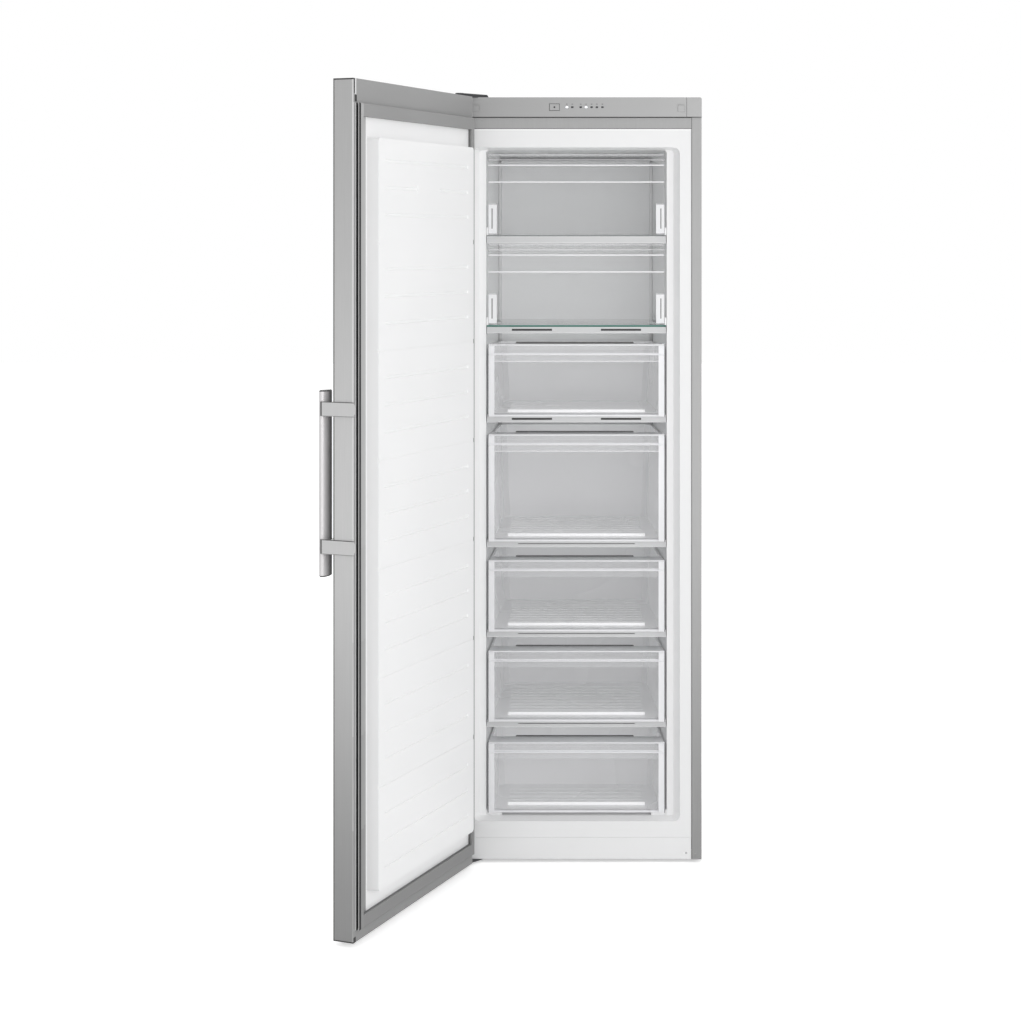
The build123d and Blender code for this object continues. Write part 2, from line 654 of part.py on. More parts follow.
def make_mode_button():
    """Push button: a cap with a dot, and a stem that works the switch behind it."""
    level = HEIGHT - CONTROL_LEVEL
    front = -PANEL_PROUD - BUTTON_PROUD
    with BuildPart() as mode_button:
        with BuildSketch(elevation(CABINET, front)):
            with Locations((BUTTON_X, level)):
                Rectangle(BUTTON_WIDTH, BUTTON_HEIGHT)
        extrude(amount=-PANEL_WALL - BUTTON_PROUD)
        cap = mode_button.faces().sort_by(Axis.Y)[0]
        chamfer(cap.edges(), length=BUTTON_PROUD / 2)
        with BuildSketch(elevation(CABINET, front)):
            with Locations((BUTTON_X, level)):
                RegularPolygon(LIGHT_SIZE / 2, 8)
        extrude(amount=-BUTTON_PROUD / 3, mode=Mode.SUBTRACT)
        with BuildSketch(elevation(CABINET, front + BUTTON_PROUD)):
            with Locations((BUTTON_X, level)):
                Rectangle(2 * BOARD_POST, 2 * BOARD_POST)
        extrude(amount=-BUTTON_DEPTH)
    save(mode_button, "mode_button")


def make_indicator_lights():
    """Small light guides that stand on the board and end flush in the fascia."""
    level = HEIGHT - CONTROL_LEVEL
    with BuildPart() as indicator_lights:
        with BuildSketch(elevation(CABINET, -PANEL_PROUD)):
            with Locations(*[(x, level) for x in LIGHT_XS]):
                Rectangle(LIGHT_SIZE, LIGHT_SIZE)
        extrude(amount=-PANEL_PROUD - BOARD_Y)
    save(indicator_lights, "indicator_lights")


def make_control_board():
    """Circuit board on four posts behind the fascia, with its switch under the button."""
    level = PANEL_BOTTOM + PANEL_HEIGHT / 2
    posts_x = BOARD_WIDTH - 4 * BOARD_POST
    posts_z = BOARD_HEIGHT - 4 * BOARD_POST
    with BuildPart() as control_board:
        with BuildSketch(elevation(CABINET, BOARD_Y)):
            with Locations((0, level)):
                Rectangle(BOARD_WIDTH, BOARD_HEIGHT)
        extrude(amount=-BOARD_WALL)
        with BuildSketch(elevation(CABINET, BOARD_Y)):
            with Locations((0, level)):
                with GridLocations(posts_x, posts_z, 2, 2):
                    Rectangle(2 * BOARD_POST, 2 * BOARD_POST)
        extrude(amount=BOARD_Y + PANEL_PROUD - PANEL_WALL)
        with BuildSketch(elevation(CABINET, BOARD_Y + BOARD_WALL)):
            with Locations((0, level)):
                Rectangle(BOARD_WIDTH / 3, BOARD_HEIGHT / 2)
        extrude(amount=-BOARD_POST)
    save(control_board, "control_board")


# ---------------------------------------------------------------- shelves


def make_glass_shelf(number, level):
    """Glass plate that follows the tapering walls and lies on the moulded ledges."""
    near = room_half_width(GLASS_FRONT) - GLASS_SIDE_GAP
    far = room_half_width(GLASS_REAR) - GLASS_SIDE_GAP
    with BuildPart() as glass_shelf:
        with BuildSketch(plan(ROOM, level - GLASS)):
            with BuildLine():
                Polyline(
                    (-near, GLASS_FRONT),
                    (near, GLASS_FRONT),
                    (far, GLASS_REAR),
                    (-far, GLASS_REAR),
                    close=True,
                )
            make_face()
        extrude(amount=GLASS)
    save(glass_shelf, f"glass_shelf_{number}")


def make_shelf_trim(number, level):
    """Plastic strip clipped under a shelf's front edge: plain at the top, then two with a
    pair of slots, then three with a single line."""
    half = room_half_width(TRIM_FRONT) - TRIM_SIDE_GAP
    with BuildPart() as shelf_trim:
        with BuildSketch(section(ROOM, -half)) as profile:
            height = (level - TRIM_HEIGHT, level - GLASS_SHOW)
            rectangle((TRIM_FRONT, TRIM_FRONT + TRIM_DEPTH), height)
            chamfer(profile.vertices().group_by(Axis.X)[0], length=BEND / 2)
            glass = (GLASS_FRONT, TRIM_FRONT + TRIM_DEPTH)
            rectangle(glass, (level - GLASS, level), mode=Mode.SUBTRACT)
        extrude(amount=2 * half)
        if number > 1:
            with BuildSketch(elevation(ROOM, TRIM_FRONT)):
                with Locations((0, level - SLOT_DROP)):
                    if number > 3:
                        Rectangle(LINE_LENGTH, LINE_HEIGHT)
                    else:
                        with GridLocations(SLOT_SPACING, 1, 2, 1):
                            Rectangle(SLOT_LENGTH, SLOT_HEIGHT)
            extrude(amount=-SLOT_DEPTH, mode=Mode.SUBTRACT)
    save(shelf_trim, f"shelf_trim_{number}")


# ---------------------------------------------------------------- drawers


def tub_sketch(plane, level_half, rear, inset):
    """Plan outline of a tub: it narrows towards the back with the walls of the room."""
    front = DRAWER_FRONT_Y + DRAWER_FRONT_WALL + inset
    back = rear - inset
    narrowing = room_half_width(front) - room_half_width(back)
    near = level_half - inset
    far = near - narrowing
    with BuildSketch(plane) as outline:
        with BuildLine():
            Polyline((-near, front), (near, front), (far, back), (-far, back), close=True)
        make_face()
        chamfer(outline.vertices().group_by(Axis.Y)[-1], length=TUB_CORNER - inset / 2)
    return outline.sketch


def make_drawer(number, floor, top, rear):
    """Clear tub and its clear front."""
    bottom = floor + DRAWER_LIFT
    tub_top = top - TUB_TOP_GAP
    front = DRAWER_FRONT_Y + DRAWER_FRONT_WALL
    wide = room_half_width(front) - TUB_SIDE_GAP - TUB_RIM
    narrow = wide - TUB_DRAFT
    ribs = int((rear - front - 4 * TUB_CORNER) / TUB_RIB_PITCH)
    with BuildPart() as tub:
        base = tub_sketch(plan(ROOM, bottom), narrow, rear, 0)
        brim = tub_sketch(plan(ROOM, tub_top), wide, rear, 0)
        loft([base, brim], ruled=True)
        rim = tub_sketch(plan(ROOM, tub_top - TUB_RIM), wide + TUB_RIM, rear + TUB_RIM, 0)
        extrude(rim, amount=TUB_RIM)
        base = tub_sketch(plan(ROOM, bottom + TUB_WALL), narrow, rear, TUB_WALL)
        brim = tub_sketch(plan(ROOM, tub_top), wide, rear, TUB_WALL)
        loft([base, brim], ruled=True, mode=Mode.SUBTRACT)
        with BuildSketch(plan(ROOM, bottom + TUB_WALL)):
            with Locations((0, (front + rear) / 2)):
                with GridLocations(1, TUB_RIB_PITCH, 1, ribs):
                    Rectangle(TUB_RIB_LENGTH, TUB_RIB_WIDTH)
        extrude(amount=TUB_RIB_HEIGHT)
    save(tub, f"drawer_{number}_tub")

    half = DRAWER_WIDTH / 2
    low = floor - DRAWER_FRONT_DROP
    with BuildPart() as drawer_front:
        with BuildSketch(elevation(ROOM, DRAWER_FRONT_Y)):
            with Locations((0, (low + top) / 2)):
                Rectangle(2 * half, top - low)
        extrude(amount=-DRAWER_FRONT_WALL)
        for side in (-1, 1):
            x = sorted((side * half, side * (half - DRAWER_FRAME)))
            y = (DRAWER_FRONT_Y - DRAWER_FRAME_DEPTH, DRAWER_FRONT_Y)
            block(ROOM, x, y, (low, top))
        for drop in (0, GRIP_SPACING):
            reach = GRIP_REACH - drop / GRIP_WALL / 2
            with BuildSketch(section(ROOM, -half)) as ledge:
                rectangle(
                    (DRAWER_FRONT_Y - reach, DRAWER_FRONT_Y),
                    (top - drop - GRIP_WALL, top - drop),
                )
                chamfer(ledge.vertices().group_by(Axis.X)[0], length=GRIP_WALL / 3)
            extrude(amount=2 * half)
        back = DRAWER_FRONT_Y + GRIP_BACK
        reach = wide - TUB_RIM
        block(ROOM, (-reach, reach), (DRAWER_FRONT_Y, back), (top - GRIP_WALL, top))
        y = (DRAWER_FRONT_Y - GRIP_WALL, DRAWER_FRONT_Y)
        block(ROOM, (-half, half), y, (low, low + GRIP_WALL))
    save(drawer_front, f"drawer_{number}_front")


# ---------------------------------------------------------------- flaps


def make_flap(name, level):
    """Clear flap with a lug and a pin at both lower corners and finger ledges near its top."""
    axis = level + FLAP_PIVOT_LIFT
    top = level + FLAP_HEIGHT
    bottom = axis - FLAP_FOOT
    face = FLAP_PIVOT_Y + FLAP_SET_BACK
    half = FLAP_WIDTH / 2
    with BuildPart() as flap:
        with BuildSketch(elevation(ROOM, face)):
            with Locations((0, (bottom + top) / 2)):
                Rectangle(FLAP_WIDTH, top - bottom)
        extrude(amount=-FLAP_WALL)
        y = (face - FLAP_RIDGE, face)
        for drop in (0, *FLAP_RIDGE_DROPS):
            block(ROOM, (-half, half), y, (top - drop - FLAP_RIDGE, top - drop))
        for side in (-1, 1):
            x = sorted((side * half, side * (half - FLAP_LUG_WIDTH)))
            with BuildSketch(section(ROOM, x[0])) as lug:
                rectangle((face - FLAP_LUG_DEPTH, face), (bottom, bottom + FLAP_LUG_HEIGHT))
                chamfer(lug.vertices().group_by(Axis.X)[0], length=FLAP_LUG_DEPTH / 2)
            extrude(amount=FLAP_LUG_WIDTH)
            slot = (x[0] + x[1]) / 2 + side * FLAP_LUG_SLOT / 2
            slot_x = (slot - FLAP_LUG_SLOT / 2, slot + FLAP_LUG_SLOT / 2)
            slot_y = (face - FLAP_LUG_DEPTH, face - FLAP_LUG_DEPTH + FLAP_LUG_RECESS)
            slot_z = (axis + FLAP_LUG_DEPTH, bottom + FLAP_LUG_HEIGHT - 2 * FLAP_LUG_DEPTH)
            block(ROOM, slot_x, slot_y, slot_z, mode=Mode.SUBTRACT)
            reach = half + BEARING_GAP + BEARING_SIZE / 4
            pin = sorted((side * (half - FLAP_LUG_WIDTH / 2), side * reach))
            rod(ROOM, FLAP_PIVOT_Y, axis, pin, FLAP_PIN_RADIUS)
    save(flap, name)


def make_flap_bearings():
    """Small blocks on the lining's side walls, which hold the pins of both flaps."""
    inner = FLAP_WIDTH / 2 + BEARING_GAP
    start = FLAP_PIVOT_Y - BEARING_SIZE / 2
    outer = room_half_width(start + BEARING_SIZE) - BEARING_BACK
    with BuildPart() as flap_bearings:
        for level in SHELF_LEVELS[:2]:
            axis = level + FLAP_PIVOT_LIFT
            for side in (-1, 1):
                x = sorted((side * inner, side * outer))
                with BuildSketch(section(ROOM, x[0])) as block_side:
                    foot = level + BUTT_GAP
                    rectangle((start, start + BEARING_SIZE), (foot, foot + BEARING_HEIGHT))
                    chamfer(block_side.vertices().group_by(Axis.Y)[-1], length=BEARING_SIZE / 4)
                    with Locations((FLAP_PIVOT_Y, axis)):
                        Circle(FLAP_PIN_RADIUS + FLAP_PIN_GAP, mode=Mode.SUBTRACT)
                extrude(amount=x[1] - x[0])
    save(flap_bearings, "flap_bearings")


# ---------------------------------------------------------------- cold air


def make_duct_cover():
    """Rear wall of the room: a tray that hides coil and fan, with vents in its side walls."""
    bottom = STEP_TOP + DUCT_TOP_GAP
    top = ROOM_CEILING - DUCT_TOP_GAP
    back = ROOM_DEPTH - FOAM_GAP
    half = DUCT_HALF_WIDTH
    with BuildPart() as duct_cover:
        with BuildSketch(plan(ROOM, bottom)) as profile:
            rectangle((-half, half), (DUCT_FRONT, back))
            chamfer(profile.vertices().group_by(Axis.Y)[0], length=DUCT_WALL)
            hollow = (DUCT_FRONT + DUCT_WALL, back)
            rectangle((-half + DUCT_WALL, half - DUCT_WALL), hollow, mode=Mode.SUBTRACT)
        extrude(amount=top - bottom)
        depth = (DUCT_FRONT + VENT_INSET, back - VENT_INSET)
        for level in (ROOM_CEILING, *SHELF_LEVELS[:-1]):
            height = (level - VENT_DROP - VENT_HEIGHT, level - VENT_DROP)
            block(ROOM, (-WIDTH / 2, WIDTH / 2), depth, height, mode=Mode.SUBTRACT)
    save(duct_cover, "duct_cover")


def make_evaporator():
    """Cooling coil: a core with plate fins across it."""
    bottom = STEP_TOP + COIL_LIFT
    middle = (DUCT_FRONT + DUCT_WALL + ROOM_DEPTH) / 2
    back = ROOM_DEPTH - BUTT_GAP
    pitch = (COIL_WIDTH - FIN_WALL) / (FIN_COUNT - 1)
    with BuildPart() as evaporator:
        with BuildSketch(plan(ROOM, bottom)):
            with Locations((0, middle)):
                Rectangle(COIL_WIDTH, COIL_CORE)
                with GridLocations(pitch, 1, FIN_COUNT, 1):
                    Rectangle(FIN_WALL, COIL_DEPTH)
        extrude(amount=COIL_HEIGHT)
        for side in (-1, 1):
            end = side * COIL_WIDTH / 2
            x = sorted((end, end - side * COIL_CORE))
            block(ROOM, x, (middle, back), (bottom, bottom + COIL_CORE))
            high = bottom + COIL_HEIGHT
            block(ROOM, x, (middle, back), (high - COIL_CORE, high))
    save(evaporator, "evaporator")


def make_fan():
    """Fan motor on the lining's back wall, and the bladed rotor on its shaft."""
    motor_back = ROOM_DEPTH - BUTT_GAP
    motor_front = motor_back - MOTOR_DEPTH
    hub_back = motor_front - FAN_MOTOR_GAP
    hub_front = hub_back - FAN_DEPTH
    with BuildPart() as fan_motor:
        with BuildSketch(elevation(ROOM, motor_back)):
            with Locations((0, FAN_LEVEL)):
                RegularPolygon(MOTOR_RADIUS, 8)
        extrude(amount=MOTOR_DEPTH)
        with BuildSketch(elevation(ROOM, motor_back)):
            with Locations((0, FAN_LEVEL)):
                Rectangle(2 * FAN_RADIUS, MOTOR_RADIUS / 2)
        extrude(amount=DUCT_WALL)
        with BuildSketch(elevation(ROOM, motor_front)):
            with Locations((0, FAN_LEVEL)):
                Circle(SHAFT_RADIUS)
        extrude(amount=FAN_MOTOR_GAP + FAN_DEPTH / 2)
    save(fan_motor, "fan_motor")

    with BuildPart() as fan_rotor:
        with BuildSketch(elevation(ROOM, hub_back)):
            with Locations((0, FAN_LEVEL)):
                Circle(FAN_HUB_RADIUS)
        extrude(amount=FAN_DEPTH)
        centre = ROOM.from_local_coords(Vector(0, (hub_front + hub_back) / 2, FAN_LEVEL))
        for blade in range(FAN_BLADES):
            turn = radians(blade * 360 / FAN_BLADES)
            outward = Vector(sin(turn), 0, cos(turn))
            with BuildSketch(Plane(centre, x_dir=(0, 1, 0), z_dir=outward)):
                Rectangle(FAN_DEPTH - BLADE_WALL, BLADE_WALL, rotation=FAN_PITCH)
            extrude(amount=FAN_RADIUS)
        with BuildSketch(elevation(ROOM, hub_back)):
            with Locations((0, FAN_LEVEL)):
                Circle(SHAFT_RADIUS + SHAFT_GAP)
        extrude(amount=FAN_DEPTH / 2 + FAN_MOTOR_GAP, mode=Mode.SUBTRACT)
    save(fan_rotor, "fan_rotor")


# ---------------------------------------------------------------- base and machinery


def make_front_feet():
    """Two screw feet under the front of the base pan."""
    with BuildPart() as front_feet:
        for side in (-1, 1):
            post(CABINET, side * FOOT_X, FOOT_Y, (0, BASE_LEVEL), FOOT_STEM)
            with BuildSketch(plan(CABINET, 0)):
                with Locations((side * FOOT_X, FOOT_Y)):
                    RegularPolygon(FOOT_RADIUS, 12)
            extrude(amount=FOOT_HEIGHT, taper=20)
            with BuildSketch(plan(CABINET, FOOT_HEIGHT)):
                with Locations((side * FOOT_X, FOOT_Y)):
                    RegularPolygon(2 * FOOT_STEM, 6)
            extrude(amount=FOOT_STEM)
    save(front_feet, "front_feet")


def make_machine_tray():
    """Steel tray across the lower back, with the ears and axles of the two rollers."""
    bottom = TRAY_LEVEL
    top = bottom + TRAY_WALL
    half_gap = ROLLER_WIDTH / 2 + ROLLER_SIDE_GAP
    half = SIDE_INNER - BUTT_GAP
    with BuildPart() as machine_tray:
        with BuildSketch(section(CABINET, -half)):
            rectangle((TRAY_FRONT, TRAY_BACK), (bottom, bottom + TRAY_LIP))
            inside = (TRAY_FRONT + TRAY_WALL, TRAY_BACK - TRAY_WALL)
            rectangle(inside, (top, top + TRAY_LIP), mode=Mode.SUBTRACT)
        extrude(amount=2 * half)
        for side in (-1, 1):
            centre = side * ROLLER_X
            wheel = (centre - half_gap, centre + half_gap)
            along = (ROLLER_Y - 1.2 * ROLLER_RADIUS, ROLLER_Y + 1.2 * ROLLER_RADIUS)
            block(CABINET, wheel, along, (bottom, top), mode=Mode.SUBTRACT)
            for ear in (-1, 1):
                inner = centre + ear * half_gap
                x = sorted((inner, inner + ear * EAR_WALL))
                with BuildSketch(section(CABINET, x[0])) as outline:
                    ear_y = (ROLLER_Y - ROLLER_RADIUS / 2, ROLLER_Y + ROLLER_RADIUS / 2)
                    rectangle(ear_y, (ROLLER_RADIUS - 2 * AXLE_RADIUS, top))
                    chamfer(outline.vertices().group_by(Axis.Y)[0], length=AXLE_RADIUS)
                extrude(amount=EAR_WALL)
            rod(CABINET, ROLLER_Y, ROLLER_RADIUS, wheel, AXLE_RADIUS)
    save(machine_tray, "machine_tray")


def make_roller(side, name):
    """Roller under the back edge, bored for its axle."""
    centre = side * ROLLER_X
    half = ROLLER_WIDTH / 2
    with BuildPart() as roller:
        rod(CABINET, ROLLER_Y, ROLLER_RADIUS, (centre - half, centre + half), ROLLER_RADIUS)
        bore = AXLE_RADIUS + AXLE_GAP
        reach = (centre - ROLLER_WIDTH, centre + ROLLER_WIDTH)
        rod(CABINET, ROLLER_Y, ROLLER_RADIUS, reach, bore, mode=Mode.SUBTRACT)
    save(roller, name)


def make_compressor():
    """Sealed compressor: domed can on a flat mount, with its relay box and pipe stubs."""
    foot = TRAY_LEVEL + TRAY_WALL + BUSH_HEIGHT
    seat = foot + COMPRESSOR_FOOT
    waist = seat + COMPRESSOR_HEIGHT / 2
    dome = COMPRESSOR_RADIUS / 3
    axis = CABINET.from_local_coords(Vector(COMPRESSOR_X, COMPRESSOR_Y, 0))
    with BuildPart() as compressor:
        with BuildSketch(plan(CABINET, foot)) as mount:
            with Locations((COMPRESSOR_X, COMPRESSOR_Y)):
                Rectangle(MOUNT_WIDTH, MOUNT_DEPTH)
            chamfer(mount.vertices(), length=RUBBER_RADIUS)
        extrude(amount=COMPRESSOR_FOOT)
        with BuildSketch(Plane(axis, x_dir=(1, 0, 0), z_dir=(0, -1, 0))) as can:
            rectangle((0, COMPRESSOR_RADIUS), (seat, seat + COMPRESSOR_HEIGHT))
            rectangle((0, COMPRESSOR_RADIUS + COMPRESSOR_FOOT), (waist, waist + 2 * COMPRESSOR_FOOT))
            rim = can.vertices().group_by(Axis.Y)
            chamfer(rim[-1].sort_by(Axis.X)[-1], length=dome)
            chamfer(rim[0].sort_by(Axis.X)[-1], length=dome / 2)
        revolve(axis=Axis(axis, (0, 0, 1)))
        x = (COMPRESSOR_X + COMPRESSOR_RADIUS - dome, COMPRESSOR_X + COMPRESSOR_RADIUS + dome)
        y = (COMPRESSOR_Y - dome, COMPRESSOR_Y + dome)
        block(CABINET, x, y, (waist - 2 * dome, waist))
    save(compressor, "compressor")

    with BuildPart() as compressor_bushes:
        with BuildSketch(plan(CABINET, TRAY_LEVEL + TRAY_WALL)):
            with Locations((COMPRESSOR_X, COMPRESSOR_Y)):
                spread = 2.4 * RUBBER_RADIUS
                with GridLocations(MOUNT_WIDTH - spread, MOUNT_DEPTH - spread, 2, 2):
                    RegularPolygon(RUBBER_RADIUS, 8)
        extrude(amount=BUSH_HEIGHT)
    save(compressor_bushes, "compressor_bushes")


# ---------------------------------------------------------------- door


def make_door_skin():
    """Steel skin: outer face, both edges, and the folds over the inner face."""
    with BuildPart() as door_skin:
        with BuildSketch(plan(DOOR, DOOR_BOTTOM + CAP_WALL)) as profile:
            rectangle((HINGE_EDGE, FREE_EDGE), (DOOR_OUTER, PIVOT_INNER))
            fillet(profile.vertices().group_by(Axis.Y)[0], radius=BEND)
            inside = (HINGE_EDGE + SHEET, FREE_EDGE - SHEET)
            rectangle(inside, (DOOR_OUTER + SHEET, PIVOT_INNER - SHEET), mode=Mode.SUBTRACT)
            gap = (HINGE_EDGE + DOOR_RETURN, FREE_EDGE - DOOR_RETURN)
            rectangle(gap, (PIVOT_INNER - 2 * SHEET, PIVOT_INNER), mode=Mode.SUBTRACT)
        extrude(amount=DOOR_TOP - DOOR_BOTTOM - 2 * CAP_WALL)
        x = (HINGE_EDGE + SHEET, FREE_EDGE - SHEET)
        y = (PIVOT_INNER - SHEET, PIVOT_INNER)
        block(DOOR, x, y, (SEAL_TOP, DOOR_TOP), mode=Mode.SUBTRACT)
        block(DOOR, x, y, (DOOR_BOTTOM, SEAL_BOTTOM), mode=Mode.SUBTRACT)
    save(door_skin, "door_skin")


def make_door_cap(name, end, seal_edge):
    """Moulded end of the door: a closing plate and the band beside the seal, bored for the
    hinge bush."""
    inward = 1 if seal_edge > end else -1
    plate = sorted((end, end + inward * CAP_WALL))
    band = sorted((end + inward * CAP_WALL, seal_edge - inward * BUTT_GAP))
    bush = sorted((end, end + inward * PIN_LENGTH))
    with BuildPart() as door_cap:
        with BuildSketch(plan(DOOR, plate[0])) as sheet:
            rectangle((HINGE_EDGE, FREE_EDGE), (DOOR_OUTER, PIVOT_INNER))
            fillet(sheet.vertices().group_by(Axis.Y)[0], radius=BEND)
        extrude(amount=CAP_WALL)
        x = (HINGE_EDGE + SHEET, FREE_EDGE - SHEET)
        block(DOOR, x, (PIVOT_INNER - CAP_DEPTH, PIVOT_INNER), band)
        block(DOOR, (-BUSH_BOSS, BUSH_BOSS), (-BUSH_BOSS, BUSH_BOSS), bush)
        pocket = (-BUSH_ROOM, BUSH_ROOM)
        block(DOOR, pocket, pocket, bush, mode=Mode.SUBTRACT)
    save(door_cap, name)


def pad_solid(shrink, face_wall):
    """Raised field of the door's lining, shrunk on its sides and thinned at its face."""
    foot_width = WIDTH - 2 * PAD_SIDE - 2 * shrink
    foot_height = PAD_TOP - PAD_BOTTOM - 2 * shrink
    middle = (PAD_TOP + PAD_BOTTOM) / 2
    foot = PIVOT_INNER - LINER_WALL
    with BuildPart() as pad:
        for y, slope in ((foot, 0), (PIVOT_INNER + PAD_PROUD - face_wall, PAD_SLOPE)):
            with BuildSketch(elevation(DOOR, y)):
                with Locations((DOOR_MIDDLE, middle)):
                    width = foot_width - 2 * slope
                    RectangleRounded(width, foot_height - 2 * slope, PAD_CORNER - shrink)
        loft(ruled=True)
    return pad.part


def groove_levels():
    """Levels of all grooves and seams: a steady pitch, up and down from the highest seam."""
    margin = PAD_SLOPE + GROOVE_PITCH / 3
    above = int((PAD_TOP - margin - SEAM_LEVEL) / GROOVE_PITCH)
    below = int((SEAM_LEVEL - PAD_BOTTOM - margin) / GROOVE_PITCH)
    return [(step, SEAM_LEVEL + step * GROOVE_PITCH) for step in range(-below, above + 1)]


def make_door_liner():
    """White lining of the door: a flat flange, and a raised field with level grooves, seams
    with notched ends, and a plain tablet."""
    outside = pad_solid(0, 0)
    inside = pad_solid(LINER_WALL, PAD_WALL)
    face = PIVOT_INNER + PAD_PROUD
    levels = groove_levels()
    grooves = [level for step, level in levels if step % GROOVES_PER_SEAM]
    seams = [level for step, level in levels if step % GROOVES_PER_SEAM == 0]
    tag_level = SEAM_LEVEL + 2 * GROOVE_PITCH
    edge = DOOR_RETURN + BUTT_GAP
    half_face = WIDTH / 2 - PAD_SIDE - PAD_SLOPE
    with BuildPart() as door_liner:
        with BuildSketch(elevation(DOOR, PIVOT_INNER)):
            wide = (HINGE_EDGE + edge, FREE_EDGE - edge)
            rectangle(wide, (SEAL_BOTTOM + BUTT_GAP, SEAL_TOP - BUTT_GAP))
        extrude(amount=LINER_WALL)
        add(outside)
        add(inside, mode=Mode.SUBTRACT)
        with BuildSketch(elevation(DOOR, face)):
            with Locations(*[(DOOR_MIDDLE, level) for level in grooves]):
                Rectangle(GROOVE_LENGTH, GROOVE_WIDTH)
        extrude(amount=GROOVE_DEPTH, taper=35, mode=Mode.SUBTRACT)
        with BuildSketch(elevation(DOOR, face)):
            with Locations(*[(DOOR_MIDDLE, level) for level in seams]):
                Rectangle(2 * half_face, SEAM_WIDTH)
                with GridLocations(2 * half_face, 1, 2, 1):
                    Rectangle(2 * NOTCH_SIZE, 2 * NOTCH_SIZE)
        extrude(amount=SEAM_DEPTH, mode=Mode.SUBTRACT)
        with BuildSketch(elevation(DOOR, face - GROOVE_DEPTH)):
            with Locations((DOOR_MIDDLE, tag_level)):
                Rectangle(TAG_WIDTH, TAG_HEIGHT)
        extrude(amount=-GROOVE_DEPTH - TAG_PROUD)
    save(door_liner, "door_liner")


def make_door_insulation():
    """Foam inside the door, which also fills the raised lining."""
    pad = pad_solid(LINER_WALL + FOAM_GAP, PAD_WALL + FOAM_GAP)
    back = PIVOT_INNER - CAP_DEPTH
    inner = (HINGE_EDGE + SHEET, FREE_EDGE - SHEET)
    with BuildPart() as door_insulation:
        z = (DOOR_BOTTOM + CAP_WALL, DOOR_TOP - CAP_WALL)
        block(DOOR, inner, (DOOR_OUTER + SHEET, back), z)
        x = (HINGE_EDGE + DOOR_RETURN, FREE_EDGE - DOOR_RETURN)
        block(DOOR, x, (back, PIVOT_INNER - LINER_WALL), (SEAL_BOTTOM, SEAL_TOP))
        add(pad)
        for side in (-1, 1):
            corner = HINGE_EDGE + SHEET if side < 0 else FREE_EDGE - SHEET
            x = sorted((corner, corner - side * BEND))
            y = (DOOR_OUTER + SHEET, DOOR_OUTER + SHEET + BEND)
            block(DOOR, x, y, z, mode=Mode.SUBTRACT)
        pocket = (-BUSH_BOSS, BUSH_BOSS)
        for height in ((z[0], DOOR_BOTTOM + PIN_LENGTH), (DOOR_TOP - PIN_LENGTH, z[1])):
            block(DOOR, pocket, pocket, height, mode=Mode.SUBTRACT)
    save(door_insulation, "door_insulation")


def make_door_seal():
    """Magnetic seal: a base, a thin neck and a broad head, all the way round the door."""
    foot = PIVOT_INNER
    neck = foot + SEAL_BASE
    head = foot + SEAL_DEPTH - SEAL_HEAD
    eased = foot + SEAL_DEPTH - SEAL_EASE
    outer_x = (HINGE_EDGE + SEAL_INSET, FREE_EDGE - SEAL_INSET - HINGE_SHIFT)
    inner_x = (outer_x[0] + SEAL_SIDE, outer_x[1] - SEAL_SIDE)
    outer_z = (SEAL_BOTTOM, SEAL_TOP)
    inner_z = (SEAL_BOTTOM + SEAL_END, SEAL_TOP - SEAL_END)
    layers = (
        (foot, neck, 0),
        (neck, head, SEAL_NECK_INSET),
        (head, eased, 0),
    )
    with BuildPart() as door_seal:
        with BuildSketch(elevation(DOOR, eased)):
            rectangle(outer_x, outer_z)
        extrude(amount=-SEAL_EASE, taper=45)
        with BuildSketch(elevation(DOOR, eased)):
            rectangle(inner_x, inner_z)
        extrude(amount=-SEAL_DEPTH, mode=Mode.SUBTRACT)
        for start, end, inset in layers:
            with BuildSketch(elevation(DOOR, start)):
                ring_x = (outer_x[0] + inset, outer_x[1] - inset)
                rectangle(ring_x, (outer_z[0] + inset, outer_z[1] - inset))
                hole_x = (inner_x[0] - inset, inner_x[1] + inset)
                hole_z = (inner_z[0] - inset, inner_z[1] + inset)
                rectangle(hole_x, hole_z, mode=Mode.SUBTRACT)
            extrude(amount=start - end)
    save(door_seal, "door_seal")


def make_hinge_bushes():
    """Plastic bushes in both ends of the door, in which the hinge pins turn."""
    with BuildPart() as hinge_bushes:
        for low in (DOOR_BOTTOM, DOOR_TOP - PIN_LENGTH):
            with BuildSketch(plan(DOOR, low)):
                Rectangle(2 * BUSH_RADIUS, 2 * BUSH_RADIUS)
                Circle(PIN_RADIUS + PIN_GAP, mode=Mode.SUBTRACT)
            extrude(amount=PIN_LENGTH)
    save(hinge_bushes, "hinge_bushes")


def bar_sketch(level, grow):
    with BuildSketch(plan(DOOR, level)) as outline:
        with Locations((BAR_X, BAR_Y)):
            Ellipse(BAR_WIDTH / 2 + grow, BAR_THICKNESS / 2 + grow)
    return outline.sketch


def make_handle_bar():
    """Upright oval bar with softened ends."""
    with BuildPart() as handle_bar:
        extrude(bar_sketch(BAR_BOTTOM, 0), amount=BAR_LENGTH)
        ends = handle_bar.faces().filter_by(GeomType.PLANE)
        chamfer(ends.edges(), length=BAR_EDGE)
    save(handle_bar, "handle_bar")


